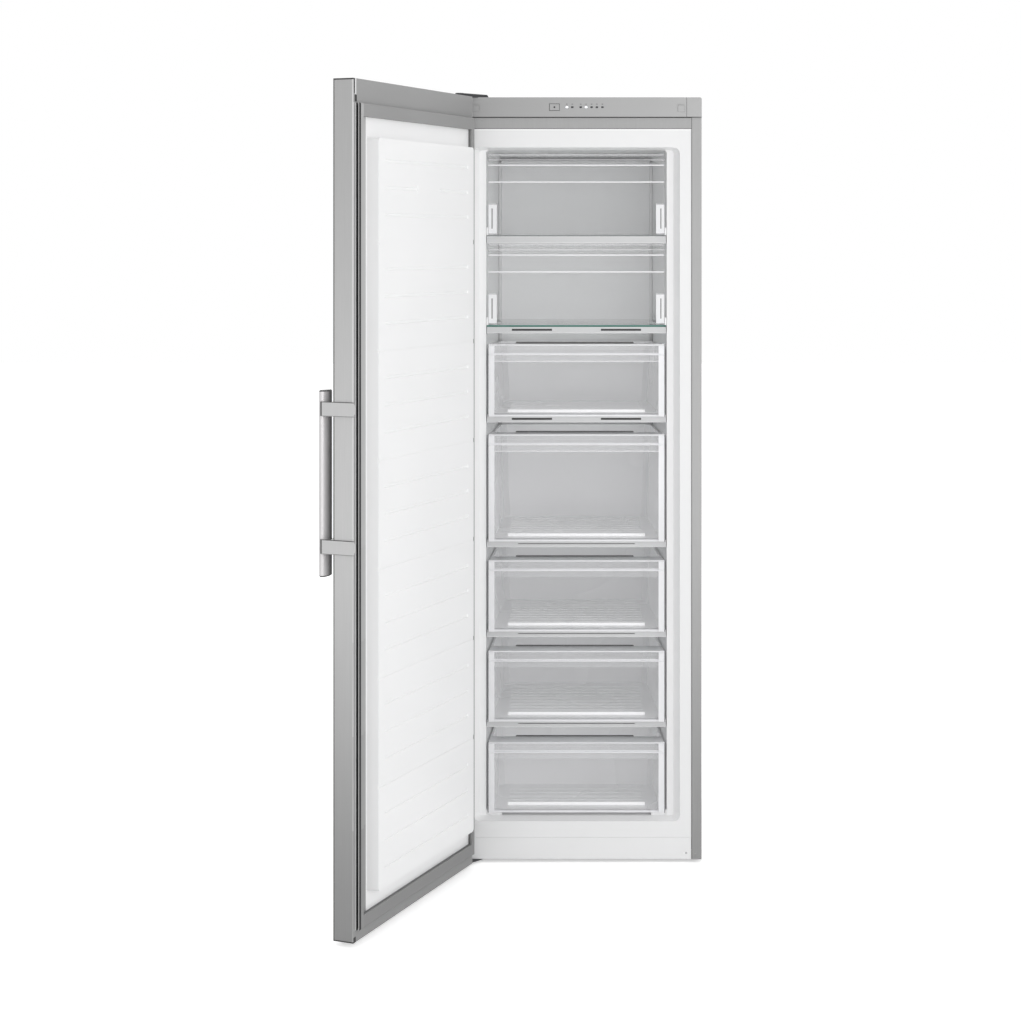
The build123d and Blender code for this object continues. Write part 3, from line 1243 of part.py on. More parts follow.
def make_handle_brackets():
    """Two straps folded round the door's free edge, each with a post that carries the bar."""
    inner = PIVOT_INNER + STRAP_WALL
    upper = BAR_BOTTOM + BAR_LENGTH - STRAP_TOP - STRAP_HEIGHT
    with BuildPart() as handle_brackets:
        for low in (BAR_BOTTOM + STRAP_BOTTOM, upper):
            with BuildSketch(plan(DOOR, low)) as strap:
                rectangle((FREE_EDGE, FREE_EDGE + STRAP_WALL), (BAR_Y, inner))
                tip = strap.vertices().group_by(Axis.Y)[0].sort_by(Axis.X)[-1]
                fillet(tip, radius=STRAP_WALL / 2)
            extrude(amount=STRAP_HEIGHT)
            hook = low + (STRAP_HEIGHT - STRAP_HOOK_HEIGHT) / 2
            x = (FREE_EDGE - STRAP_HOOK, FREE_EDGE + STRAP_WALL)
            block(DOOR, x, (PIVOT_INNER, inner), (hook, hook + STRAP_HOOK_HEIGHT))
            x = (FREE_EDGE - BAR_WIDTH, FREE_EDGE)
            z = (low + POST_INSET, low + STRAP_HEIGHT - POST_INSET)
            block(DOOR, x, (BAR_Y, DOOR_OUTER), z)
        cradle = bar_sketch(BAR_BOTTOM, CRADLE_GAP)
        extrude(cradle, amount=BAR_LENGTH, mode=Mode.SUBTRACT)
    save(handle_brackets, "handle_brackets")


# ---------------------------------------------------------------- door hinges


def hinge_outline(level, back, grow):
    """Plate that narrows from the cabinet to the round boss on the hinge axis."""
    left = -WIDTH / 2 + HINGE_SIDE_GAP - grow
    right = left + HINGE_WIDTH + 2 * grow
    boss = HINGE_BOSS + grow
    with BuildSketch(plan(CABINET, level)) as outline:
        with BuildLine():
            Polyline(
                (PIVOT_X - boss, PIVOT_Y),
                (PIVOT_X + boss, PIVOT_Y),
                (right, HINGE_FRONT),
                (right, back + grow),
                (left, back + grow),
                (left, HINGE_FRONT),
                close=True,
            )
        make_face()
        with Locations((PIVOT_X, PIVOT_Y)):
            Circle(boss)
        chamfer(outline.vertices().group_by(Axis.Y)[-1], length=HINGE_BOSS / 2)
    return outline.sketch


def make_top_hinge():
    """Steel plate on the cabinet's top, with the pin that the door hangs on."""
    with BuildPart() as top_hinge:
        extrude(hinge_outline(HEIGHT, HINGE_BACK, 0), amount=HINGE_WALL)
        pin = (DOOR_TOP - PIN_LENGTH + DOOR_TOP_GAP, HEIGHT)
        post(CABINET, PIVOT_X, PIVOT_Y, pin, PIN_RADIUS)
    save(top_hinge, "top_hinge")


def make_top_hinge_cover():
    """Thin dark cover over the upper hinge."""
    wall = HINGE_COVER_WALL
    low = HEIGHT + HINGE_WALL
    with BuildPart() as top_hinge_cover:
        extrude(hinge_outline(low, HINGE_BACK, 0), amount=HINGE_COVER_HEIGHT)
        top = top_hinge_cover.faces().sort_by(Axis.Z)[-1]
        chamfer(top.edges(), length=wall)
        hollow = hinge_outline(low, HINGE_BACK, -2 * wall)
        extrude(hollow, amount=HINGE_COVER_HEIGHT - 2 * wall, mode=Mode.SUBTRACT)
    save(top_hinge_cover, "top_hinge_cover")


def make_bottom_hinge():
    """Steel plate under the front corner, with its riser to the base pan and the lower pin."""
    left = -WIDTH / 2 + HINGE_SIDE_GAP
    riser_x = (left + HINGE_WALL, left + HINGE_WIDTH - HINGE_WALL)
    riser_y = (LOWER_HINGE_BACK - HINGE_WALL, LOWER_HINGE_BACK)
    top = GROUND_GAP
    with BuildPart() as bottom_hinge:
        plate = hinge_outline(top - HINGE_WALL, LOWER_HINGE_BACK, 0)
        extrude(plate, amount=HINGE_WALL)
        block(CABINET, riser_x, riser_y, (top, BASE_LEVEL))
        post(CABINET, PIVOT_X, PIVOT_Y, (top, DOOR_BOTTOM + PIN_LENGTH - DOOR_TOP_GAP), PIN_RADIUS)
    save(bottom_hinge, "bottom_hinge")


os.makedirs("parts", exist_ok=True)

make_side_panel(-1, "side_panel_left")
make_side_panel(1, "side_panel_right")
make_top_cover()
make_back_panel()
make_base_pan()
make_insulation()
make_inner_liner()
make_seal_rail()
make_plinth()

make_control_panel()
make_mode_button()
make_indicator_lights()
make_control_board()

for number, level in enumerate(SHELF_LEVELS, start=1):
    make_glass_shelf(number, level)
    make_shelf_trim(number, level)

for number, (floor, top) in enumerate(zip(DRAWER_FLOORS, DRAWER_TOPS), start=1):
    wall = DUCT_FRONT if floor > STEP_TOP else RISER_DEPTH
    make_drawer(number, floor, top, wall - TUB_REAR_GAP)

make_flap("flap_upper", SHELF_LEVELS[0])
make_flap("flap_lower", SHELF_LEVELS[1])
make_flap_bearings()

make_duct_cover()
make_evaporator()
make_fan()

make_front_feet()
make_machine_tray()
make_roller(-1, "roller_left")
make_roller(1, "roller_right")
make_compressor()

make_door_skin()
make_door_cap("door_cap_top", DOOR_TOP, SEAL_TOP)
make_door_cap("door_cap_bottom", DOOR_BOTTOM, SEAL_BOTTOM)
make_door_insulation()
make_door_liner()
make_door_seal()
make_hinge_bushes()
make_handle_bar()
make_handle_brackets()

make_top_hinge()
make_top_hinge_cover()
make_bottom_hinge()
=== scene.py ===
# %% [markdown]
# # An upright freezer with its door open
# The object is a tall freezer: painted steel outside, white moulded plastic inside, a grey
# control panel across the top, clear flaps and drawers on glass shelves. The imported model
# brings every rigid piece at its real size and place. This lesson gives each piece its
# finish, adds the small fittings that a plain model lacks, and then lights and frames it.

import json
import math

import bmesh
import bpy
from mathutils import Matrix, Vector


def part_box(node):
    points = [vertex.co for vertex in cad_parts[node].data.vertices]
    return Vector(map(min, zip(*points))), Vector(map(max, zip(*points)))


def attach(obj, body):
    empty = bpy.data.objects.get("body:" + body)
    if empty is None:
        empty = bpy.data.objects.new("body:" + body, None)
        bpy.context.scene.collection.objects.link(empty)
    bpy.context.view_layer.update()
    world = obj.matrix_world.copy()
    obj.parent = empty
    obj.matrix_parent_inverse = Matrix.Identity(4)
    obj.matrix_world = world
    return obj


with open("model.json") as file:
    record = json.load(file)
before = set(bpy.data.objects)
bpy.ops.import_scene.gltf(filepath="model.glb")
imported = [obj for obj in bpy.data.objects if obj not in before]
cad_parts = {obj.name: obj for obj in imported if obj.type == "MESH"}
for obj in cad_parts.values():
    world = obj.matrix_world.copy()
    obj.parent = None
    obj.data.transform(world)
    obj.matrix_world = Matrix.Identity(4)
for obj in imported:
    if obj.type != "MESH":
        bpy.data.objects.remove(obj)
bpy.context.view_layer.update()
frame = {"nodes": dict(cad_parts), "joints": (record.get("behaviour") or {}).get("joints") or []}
pieces = frame["nodes"]

# %% [markdown]
# ## Where things are
# All places are in metres in the model's own frame. The cabinet stands square to the axes,
# so its middle and its front come from the boxes of its pieces. The door stands open, so its
# own directions come from the hinge joint: how far it can close tells how far it is open.

# %% Places of the cabinet and the door
plinth_low, plinth_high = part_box("plinth")
MIDDLE_X = (plinth_low.x + plinth_high.x) / 2
FRONT_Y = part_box("side_panel_left")[0].y
door_joint = next(j for j in frame["joints"] if j["child"] == "door")
PIVOT = Vector(door_joint["pos_m"])
OPEN_ANGLE = -math.radians(door_joint["range_deg"][0])
DOOR_ALONG = Vector((math.cos(OPEN_ANGLE), -math.sin(OPEN_ANGLE), 0))
DOOR_INWARD = Vector((math.sin(OPEN_ANGLE), math.cos(OPEN_ANGLE), 0))
print("cabinet middle", round(MIDDLE_X, 4), "front", round(FRONT_Y, 4), "pivot", PIVOT)

# %% [markdown]
# ## Helpers for materials
# A finish is a small network of nodes. Two helpers keep the network readable: one adds a node
# and sets its inputs by name, the other joins an output to an input. A third multiplies two
# values, and the last starts a node group with named sockets, so that one effect can serve
# several materials.


# %% Node helpers
def add_node(tree, kind, settings=None, **inputs):
    """Add a node; settings are its own options, inputs are socket values by name."""
    node = tree.nodes.new(kind)
    for name, value in (settings or {}).items():
        setattr(node, name, value)
    for name, value in inputs.items():
        node.inputs[name.replace("_", " ")].default_value = value
    return node


def join(tree, source, output, target, socket):
    tree.links.new(source.outputs[output], target.inputs[socket])


def both(tree, first, second):
    """Where two masks are both 1, each given as (node, output)."""
    product = add_node(tree, "ShaderNodeMath", {"operation": "MULTIPLY"})
    join(tree, *first, product, 0)
    join(tree, *second, product, 1)
    return product


def start_group(name, inputs, outputs):
    """A shader node group with float inputs and outputs; returns its tree and both ends."""
    group = bpy.data.node_groups.new(name, "ShaderNodeTree")
    for label, value in inputs.items():
        socket = group.interface.new_socket(label, in_out="INPUT", socket_type="NodeSocketFloat")
        socket.default_value = value
    for label in outputs:
        group.interface.new_socket(label, in_out="OUTPUT", socket_type="NodeSocketFloat")
    return group, group.nodes.new("NodeGroupInput"), group.nodes.new("NodeGroupOutput")


# %% [markdown]
# ## Effect: rolled sheet
# Painted and rolled steel is never one flat grey. It has broad soft clouds and, under the
# lacquer, very fine lines in the direction of rolling. Noise stretched along one axis gives
# the lines; plain large noise gives the clouds. Both leave the group as values near 0.5.


# %% Node group for rolled sheet
def build_rolled_sheet():
    group, start, end = start_group(
        "rolled_sheet", {"Line Scale": 900.0, "Cloud Scale": 2.0}, ("Lines", "Clouds")
    )
    place = add_node(group, "ShaderNodeTexCoord")
    stretch = add_node(group, "ShaderNodeMapping", Scale=(1.0, 1.0, 0.012))
    lines = add_node(group, "ShaderNodeTexNoise", Detail=3.0, Roughness=0.7)
    clouds = add_node(group, "ShaderNodeTexNoise", Detail=2.0, Roughness=0.5)
    join(group, place, "Object", stretch, "Vector")
    join(group, stretch, "Vector", lines, "Vector")
    join(group, place, "Object", clouds, "Vector")
    join(group, start, "Line Scale", lines, "Scale")
    join(group, start, "Cloud Scale", clouds, "Scale")
    join(group, lines, "Fac", end, "Lines")
    join(group, clouds, "Fac", end, "Clouds")
    return group


rolled_sheet = build_rolled_sheet()
print("group:", rolled_sheet.name)

# %% [markdown]
# ## Effect: moulded surface
# Moulded plastic has a very fine grain from the tool and slow waves where it cooled. The
# grain feeds the bump, the waves move the colour and gloss a little.


# %% Node group for moulded plastic
def build_moulded_surface():
    group, start, end = start_group(
        "moulded_surface", {"Grain Scale": 1400.0, "Wave Scale": 5.0}, ("Grain", "Waves")
    )
    place = add_node(group, "ShaderNodeTexCoord")
    grain = add_node(group, "ShaderNodeTexNoise", Detail=2.0, Roughness=0.6)
    waves = add_node(group, "ShaderNodeTexNoise", Detail=1.0, Roughness=0.4)
    join(group, place, "Object", grain, "Vector")
    join(group, place, "Object", waves, "Vector")
    join(group, start, "Grain Scale", grain, "Scale")
    join(group, start, "Wave Scale", waves, "Scale")
    join(group, grain, "Fac", end, "Grain")
    join(group, waves, "Fac", end, "Waves")
    return group


moulded_surface = build_moulded_surface()
print("group:", moulded_surface.name)

# %% [markdown]
# ## Effect: painted highlights on moulded edges
# Clear plastic looks brightest where a rib or a ledge is seen edge on, because light that
# travels inside the wall comes out there. This mask paints that as a highlight. Faces that look
# up or down are those edges on this object, so the mask is how much the normal points along Z.


# %% Node group for ledge highlights
def build_bright_ledges():
    group, start, end = start_group("ledge_highlights", {"Start": 0.5, "End": 0.9}, ("Mask",))
    shape = add_node(group, "ShaderNodeNewGeometry")
    split = add_node(group, "ShaderNodeSeparateXYZ")
    upright = add_node(group, "ShaderNodeMath", {"operation": "ABSOLUTE"})
    ramp = add_node(group, "ShaderNodeMapRange")
    join(group, shape, "Normal", split, "Vector")
    join(group, split, "Z", upright, 0)
    join(group, upright, 0, ramp, "Value")
    join(group, start, "Start", ramp, "From Min")
    join(group, start, "End", ramp, "From Max")
    join(group, ramp, "Result", end, "Mask")
    return group


ledge_highlights = build_bright_ledges()
print("group:", ledge_highlights.name)

# %% [markdown]
# ## Effect: a band in one direction
# Some marks belong to a strip of a piece: the frame that stands proud at the front, or the
# lip along a floor. The group takes one coordinate of the piece and two limits, and is 1
# between them. Coordinates of the piece travel with it when it slides or swings.


# %% Node group for a band
def build_band():
    group, start, end = start_group("band", {"Value": 0.0, "Low": 0.0, "High": 1.0}, ("Mask",))
    above = add_node(group, "ShaderNodeMath", {"operation": "GREATER_THAN"})
    below = add_node(group, "ShaderNodeMath", {"operation": "LESS_THAN"})
    join(group, start, "Value", above, 0)
    join(group, start, "Low", above, 1)
    join(group, start, "Value", below, 0)
    join(group, start, "High", below, 1)
    join(group, both(group, (above, 0), (below, 0)), 0, end, "Mask")
    return group


band = build_band()
print("group:", band.name)

# %% [markdown]
# ## Effect: settled dust
# The hidden back and the machinery gather a little dust on whatever faces up. The mask is the
# upward part of the normal times a blotchy noise.


# %% Node group for dust
def build_settled_dust():
    group, start, end = start_group("settled_dust", {"Blotch Scale": 30.0}, ("Mask",))
    place = add_node(group, "ShaderNodeTexCoord")
    shape = add_node(group, "ShaderNodeNewGeometry")
    split = add_node(group, "ShaderNodeSeparateXYZ")
    blotches = add_node(group, "ShaderNodeTexNoise", Detail=4.0, Roughness=0.6)
    amount = add_node(group, "ShaderNodeMath", {"operation": "MULTIPLY", "use_clamp": True})
    join(group, shape, "Normal", split, "Vector")
    join(group, place, "Object", blotches, "Vector")
    join(group, start, "Blotch Scale", blotches, "Scale")
    join(group, split, "Z", amount, 0)
    join(group, blotches, "Fac", amount, 1)
    join(group, amount, 0, end, "Mask")
    return group


settled_dust = build_settled_dust()
print("group:", settled_dust.name)

# %% [markdown]
# ## Finishes
# Each finish starts from the Principled shader. A value that is the same all over is set on
# the shader's own socket; only what changes over the surface comes through nodes. The greys
# of this object are neutral, so a grey is written as one number.


# %% Start a finish
def grey(value):
    return (value, value, value)


def start_finish(name, roughness, metallic=0.0):
    material = bpy.data.materials.new(name)
    material.use_nodes = True
    tree = material.node_tree
    shader = tree.nodes["Principled BSDF"]
    shader.inputs["Roughness"].default_value = roughness
    shader.inputs["Metallic"].default_value = metallic
    return material, tree, shader


def use_group(tree, group, **inputs):
    return add_node(tree, "ShaderNodeGroup", {"node_tree": group}, **inputs)


def shade_between(tree, source, output, dark, light):
    """A colour between two, chosen by a value."""
    mix = add_node(tree, "ShaderNodeMix", {"data_type": "RGBA"})
    mix.inputs[6].default_value = (*dark, 1.0)
    mix.inputs[7].default_value = (*light, 1.0)
    join(tree, source, output, mix, 0)
    return mix


def value_between(tree, source, output, low, high):
    """A value between two, from one that runs from about 0.3 to 0.7."""
    spread = add_node(
        tree, "ShaderNodeMapRange", From_Min=0.3, From_Max=0.7, To_Min=low, To_Max=high
    )
    join(tree, source, output, spread, "Value")
    return spread


def add_bump(tree, shader, source, output, strength, distance):
    bump = add_node(tree, "ShaderNodeBump", Strength=strength, Distance=distance)
    join(tree, source, output, bump, "Height")
    join(tree, bump, "Normal", shader, "Normal")


print("a middle grey:", grey(0.5))

# %% [markdown]
# ## Masks and paint
# Many details here are strips: a joint, a slot, the fold of a sheet. A mask is 1 inside the
# strip, and painting lays a tone over the colour there. Joints are dark of themselves; many of
# the other strips are painted shade and painted highlights. Cutting them into the mesh would do
# too, but painted strips leave the imported pieces as they are. Strips of the door are measured
# from the hinge axis, in the door's own directions, because the door stands at an angle.


# %% Masks and paint
def place_of(tree):
    """The three coordinates of the piece, apart."""
    place = add_node(tree, "ShaderNodeTexCoord")
    split = add_node(tree, "ShaderNodeSeparateXYZ")
    join(tree, place, "Object", split, "Vector")
    return split


def band_of(tree, split, axis, low, high):
    """A mask that is 1 where one coordinate lies between two limits."""
    strip = use_group(tree, band, Low=low, High=high)
    join(tree, split, axis, strip, "Value")
    return strip


def along_door(tree, direction):
    """Where a point of the piece lies in one direction of the open door."""
    place = add_node(tree, "ShaderNodeTexCoord")
    along = add_node(tree, "ShaderNodeVectorMath", {"operation": "DOT_PRODUCT"})
    along.inputs[1].default_value = direction
    join(tree, place, "Object", along, 0)
    return along


def door_strip(tree, direction, low, high):
    """A mask between two distances from the hinge axis, along the door or into it."""
    axis = PIVOT.dot(direction)
    strip = use_group(tree, band, Low=axis + low, High=axis + high)
    join(tree, along_door(tree, direction), "Value", strip, "Value")
    return strip


def either(tree, first, second):
    """The larger of two masks, each given as (node, output)."""
    larger = add_node(tree, "ShaderNodeMath", {"operation": "MAXIMUM"})
    join(tree, *first, larger, 0)
    join(tree, *second, larger, 1)
    return larger


def paint_over(tree, mask, output, tone):
    """Lay a tone over the base colour, plain or already mixed, where the mask is 1."""
    shader = tree.nodes["Principled BSDF"]
    base = shader.inputs["Base Color"]
    painted = add_node(tree, "ShaderNodeMix", {"data_type": "RGBA"})
    painted.inputs[6].default_value = base.default_value
    painted.inputs[7].default_value = (*tone, 1.0)
    if base.links:
        tree.links.new(base.links[0].from_socket, painted.inputs[6])
    join(tree, mask, output, painted, 0)
    join(tree, painted, 2, shader, "Base Color")


def paint_band(material, axis, low, high, tone):
    """Give a finish another tone between two limits on one axis."""
    tree = material.node_tree
    paint_over(tree, band_of(tree, place_of(tree), axis, low, high), "Mask", tone)


def shade_across(material, axis, low, high, most, least):
    """Paint shade over a finish: darken it by a share that falls from most to least between two
    limits.
    """
    tree = material.node_tree
    share = add_node(
        tree, "ShaderNodeMapRange", From_Min=low, From_Max=high, To_Min=most, To_Max=least
    )
    join(tree, place_of(tree), axis, share, "Value")
    paint_over(tree, share, "Result", grey(0.12))


print("the open door reaches along", DOOR_ALONG)

# %% [markdown]
# ## Painted and plain metal
# The cabinet and the door are the same painted sheet; the door's copy is painted lighter, and
# each carries painted shade that changes with height, as the door's free edge turns to a
# darker part of the room towards its foot and its head.


# %% Metal finishes
TALL = 1.86


def steel_finish(name, dark, light, roughness, metallic, height_shades=(1.0, 1.0, 1.0)):
    """Rolled sheet; height_shades is the painted shade, how light it is at its foot, its middle
    and its head.
    """
    material, tree, shader = start_finish(name, roughness, metallic)
    sheet = use_group(tree, rolled_sheet)
    colour = shade_between(tree, sheet, "Lines", dark, light)
    gloss = value_between(tree, sheet, "Clouds", roughness - 0.04, roughness + 0.05)
    rise = add_node(tree, "ShaderNodeMapRange", From_Max=TALL)
    ramp = add_node(tree, "ShaderNodeValToRGB")
    ramp.color_ramp.interpolation = "EASE"
    middle = ramp.color_ramp.elements.new(0.5)
    stops = (ramp.color_ramp.elements[0], middle, ramp.color_ramp.elements[2])
    for stop, tone in zip(stops, height_shades):
        stop.color = (*grey(tone), 1.0)
    height_shade = add_node(tree, "ShaderNodeMix", {"data_type": "RGBA", "blend_type": "MULTIPLY"})
    height_shade.inputs[0].default_value = 1.0
    join(tree, place_of(tree), "Z", rise, "Value")
    join(tree, rise, "Result", ramp, "Fac")
    join(tree, colour, 2, height_shade, 6)
    join(tree, ramp, "Color", height_shade, 7)
    join(tree, height_shade, 2, shader, "Base Color")
    join(tree, gloss, "Result", shader, "Roughness")
    add_bump(tree, shader, sheet, "Lines", 0.12, 0.0002)
    return material


# painted light and shade: the door's copy of the sheet is lighter, and both darken at foot and
# head
silver_steel = steel_finish(
    "silver_steel", grey(0.37), grey(0.44), 0.42, 0.2, (0.75, 1.0, 0.88)
)
door_steel = steel_finish(
    "door_steel", grey(0.57), grey(0.67), 0.42, 0.2, (0.48, 1.0, 0.74)
)
# the rail is the silver sheet in a darker copy: painted shade below the overhanging control panel
shaded_landing_steel = steel_finish("shaded_landing_steel", grey(0.32), grey(0.38), 0.4, 0.15)
bar_metal = steel_finish("bar_metal", (0.69, 0.675, 0.68), (0.79, 0.775, 0.78), 0.34, 0.3)
strap_metal = steel_finish("strap_metal", grey(0.58), grey(0.66), 0.4, 0.2)
dark_steel = steel_finish("dark_steel", (0.035, 0.035, 0.04), (0.07, 0.07, 0.075), 0.45, 0.3)
coil_metal = steel_finish("coil_metal", (0.5, 0.51, 0.52), (0.66, 0.67, 0.68), 0.35, 0.9)
print("materials so far:", len(bpy.data.materials))

# %% [markdown]
# ## Galvanised steel
# The back, the pan and the machinery tray are bare galvanised sheet, which shows small zinc
# crystals. Voronoi cells give each crystal its own shade; dust dulls what faces up.


# %% Galvanised finish
def galvanised_finish():
    material, tree, shader = start_finish("galvanised", 0.45, 0.8)
    place = add_node(tree, "ShaderNodeTexCoord")
    crystals = add_node(tree, "ShaderNodeTexVoronoi", Scale=170.0)
    split = add_node(tree, "ShaderNodeSeparateColor")
    dust = use_group(tree, settled_dust)
    zinc = shade_between(tree, split, "Red", (0.46, 0.47, 0.48), (0.55, 0.56, 0.57))
    cover = add_node(tree, "ShaderNodeMix", {"data_type": "RGBA"})
    cover.inputs[7].default_value = (0.36, 0.34, 0.31, 1.0)
    gloss = value_between(tree, split, "Green", 0.4, 0.5)
    join(tree, place, "Object", crystals, "Vector")
    join(tree, crystals, "Color", split, "Color")
    join(tree, zinc, 2, cover, 6)
    join(tree, dust, "Mask", cover, 0)
    join(tree, cover, 2, shader, "Base Color")
    join(tree, gloss, "Result", shader, "Roughness")
    return material


galvanised = galvanised_finish()
print("finish:", galvanised.name)

# %% [markdown]
# ## Moulded plastics
# The lining, the trims and the panel are moulded. They share the grain and the waves and
# differ in colour, gloss and how strong the grain is. The lining's front rim carries painted
# shade and its upper edge a painted highlight; the panel has two fine seams and a dark joint at
# its foot. Painted shade darkens the panel towards the hinges and the seal towards the floor.
# The back lining is a darker copy of the lining, painted shade, with painted light low down.


# %% Moulded finishes
def moulded_finish(name, dark, light, roughness, grain=0.05, metallic=0.0):
    material, tree, shader = start_finish(name, roughness, metallic)
    surface = use_group(tree, moulded_surface)
    colour = shade_between(tree, surface, "Waves", dark, light)
    gloss = value_between(tree, surface, "Waves", roughness - 0.03, roughness + 0.03)
    join(tree, colour, 2, shader, "Base Color")
    join(tree, gloss, "Result", shader, "Roughness")
    add_bump(tree, shader, surface, "Grain", grain, 0.0002)
    return material


white_lining = moulded_finish("white_lining", (0.91, 0.912, 0.915), (0.94, 0.94, 0.943), 0.32)
room_lining = moulded_finish("room_lining", (0.9, 0.902, 0.905), (0.94, 0.94, 0.943), 0.32)
# painted shade along the lining's front rim, then a painted highlight along its upper edge
paint_band(room_lining, "Y", FRONT_Y - 0.002, FRONT_Y + 0.0025, (0.83, 0.832, 0.835))
lining_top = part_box("inner_liner")[1].z
paint_band(room_lining, "Z", lining_top - 0.0035, lining_top + 0.001, grey(0.96))

# painted shade: the back is a darker copy of the lining; painted light lifts it below this height
PAINTED_LIGHT_BELOW = 1.51
back_lining_light_and_shade = moulded_finish("back_lining_light_and_shade", (0.8, 0.805, 0.81), (0.85, 0.855, 0.86), 0.34)
paint_band(back_lining_light_and_shade, "Z", 0.0, PAINTED_LIGHT_BELOW, (0.93, 0.93, 0.935))

PANEL_SEAM = 0.2611
panel_grey = moulded_finish("panel_grey", grey(0.4), grey(0.455), 0.42, 0.04, 0.1)
for seam in (MIDDLE_X - PANEL_SEAM, MIDDLE_X + PANEL_SEAM):
    paint_band(panel_grey, "X", seam - 0.0005, seam + 0.0005, grey(0.12))
panel_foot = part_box("control_panel")[0].z
paint_band(panel_grey, "Z", panel_foot - 0.001, panel_foot + 0.0014, grey(0.1))
# painted shade: the panel darkens towards the hinge side, where the open door shades it
PANEL_HALF = 0.29
shade_across(panel_grey, "X", MIDDLE_X - PANEL_HALF, MIDDLE_X + PANEL_HALF, 0.28, 0.0)

cap_grey = moulded_finish("cap_grey", grey(0.3), grey(0.34), 0.45, 0.06, 0.1)
seal_grey = moulded_finish("seal_grey", grey(0.3), grey(0.35), 0.65, 0.1)
# painted shade: the seal darkens towards the floor
SEAL_HEIGHTS = (0.15, 1.75)
shade_across(seal_grey, "Z", *SEAL_HEIGHTS, 0.3, 0.1)
black_plastic = moulded_finish(
    "black_plastic", (0.02, 0.02, 0.022), (0.04, 0.04, 0.042), 0.5, 0.12
)
grey_plastic = moulded_finish("grey_plastic", (0.3, 0.3, 0.31), (0.36, 0.36, 0.37), 0.5, 0.1)
smoked_plastic = moulded_finish("smoked_plastic", grey(0.1), grey(0.14), 0.3, 0.05)
black_rubber = moulded_finish("black_rubber", grey(0.015), grey(0.03), 0.8, 0.2)
foam = moulded_finish("foam", (0.75, 0.66, 0.42), (0.85, 0.76, 0.52), 0.9, 0.6)
board_green = moulded_finish("board_green", (0.01, 0.09, 0.03), (0.02, 0.14, 0.05), 0.35, 0.05)
print("panel foot:", round(panel_foot, 4), "lining top:", round(lining_top, 4))

# %% [markdown]
# ## Shelf trims and panel lights
# The strip under each glass is light grey; its slots and lines carry painted shade because they
# lie deeper, and its eased edges a painted highlight. The second strip also carries a painted
# reflection of the green glass above it along its top. Two of the seven lights on the panel are
# lit.


# %% Trims and lights
SLOT_FLOOR = (0.0375, 0.0393)


def behind_front(limits):
    """Two depths behind the cabinet's front, as places."""
    return [FRONT_Y + limit for limit in limits]


def trim_finish(name, slot_shade):
    material = moulded_finish(name, (0.56, 0.565, 0.57), (0.62, 0.625, 0.63), 0.3)
    # painted shade in the slots and lines, which lie deeper
    paint_band(material, "Y", *behind_front(SLOT_FLOOR), slot_shade)
    tree = material.node_tree
    # painted highlight on the eased edges
    edges = use_group(tree, ledge_highlights, Start=0.3, End=0.65)
    paint_over(tree, edges, "Mask", (0.95, 0.95, 0.96))
    return material


def light_finish(name, lit_places):
    material, tree, shader = start_finish(name, 0.25)
    split = place_of(tree)
    surface = use_group(tree, moulded_surface, Wave_Scale=300.0)
    unlit = shade_between(tree, surface, "Waves", (0.03, 0.03, 0.035), (0.07, 0.07, 0.075))
    first, second = (
        (band_of(tree, split, "X", place - 0.004, place + 0.004), "Mask") for place in lit_places
    )
    lit = either(tree, first, second)
    join(tree, unlit, 2, shader, "Base Color")
    paint_over(tree, lit, 0, (0.95, 0.96, 1.0))
    light = shade_between(tree, lit, 0, grey(0.0), (0.9, 0.95, 1.0))
    join(tree, light, 2, shader, "Emission Color")
    shader.inputs["Emission Strength"].default_value = 0.6
    return material


LIGHT_STEPS = (-0.0283, -0.0152, 0.0051, 0.0181, 0.0314, 0.0442, 0.0575)
LIGHT_PLACES = [MIDDLE_X + step for step in LIGHT_STEPS]
slotted_trim = trim_finish("slotted_trim", grey(0.008))
lined_trim = trim_finish("lined_trim", grey(0.15))
glass_reflection_trim = trim_finish("glass_reflection_trim", grey(0.008))
# painted reflection of the green glass edge along the top of the second strip
trim_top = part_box("shelf_trim_2")[1].z
paint_band(glass_reflection_trim, "Z", trim_top - 0.0014, trim_top + 0.001, (0.0, 0.15, 0.11))
light_guide = light_finish("light_guide", (LIGHT_PLACES[0], LIGHT_PLACES[3]))
print("lights:", len(LIGHT_PLACES), "top of the green line:", round(trim_top, 4))

# %% [markdown]
# ## Lines along the door's free edge
# Seen past the free edge, the seal shows two black lines with a pale one between, painted shade
# in its folds and a painted highlight on the bead; the fold of the skin beside it lies in painted
# shade with a painted highlight along its edge, and the caps have dark joints at their corners.
# All are strips at known distances from the hinge axis. The skin's painted shade with height
# belongs mostly to that edge, so its front has only a third of it. The fold, the seal and the flat
# lining beside it darken downwards in the same steps, painted shade too.


# %% Door edge lines
DOOR_REACH = 0.583
DOOR_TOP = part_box("door_cap_top")[1].z
DOOR_HEIGHT = DOOR_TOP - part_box("door_cap_bottom")[0].z
BLACK = grey(0.02)


def paint_door(material, along, inward, rise, tone):
    """Paint between limits along the door from its reach, into it and up from its top."""
    tree = material.node_tree
    mask = (door_strip(tree, DOOR_ALONG, DOOR_REACH + along[0], DOOR_REACH + along[1]), "Mask")
    if inward:
        mask = (both(tree, mask, (door_strip(tree, DOOR_INWARD, *inward), "Mask")), 0)
    if rise:
        strip = band_of(tree, place_of(tree), "Z", DOOR_TOP + rise[0], DOOR_TOP + rise[1])
        mask = (both(tree, mask, (strip, "Mask")), 0)
    paint_over(tree, *mask, tone)


# painted shade with height: full on the free edge, a third of it on the skin's front
tree = door_steel.node_tree
height_shade = tree.nodes["Principled BSDF"].inputs["Base Color"].links[0].from_node
edge = door_strip(tree, DOOR_ALONG, DOOR_REACH - 0.004, DOOR_REACH + 0.002)
amount = add_node(tree, "ShaderNodeMapRange", To_Min=0.35, To_Max=1.0)
join(tree, edge, "Mask", amount, "Value")
join(tree, amount, "Result", height_shade, 0)
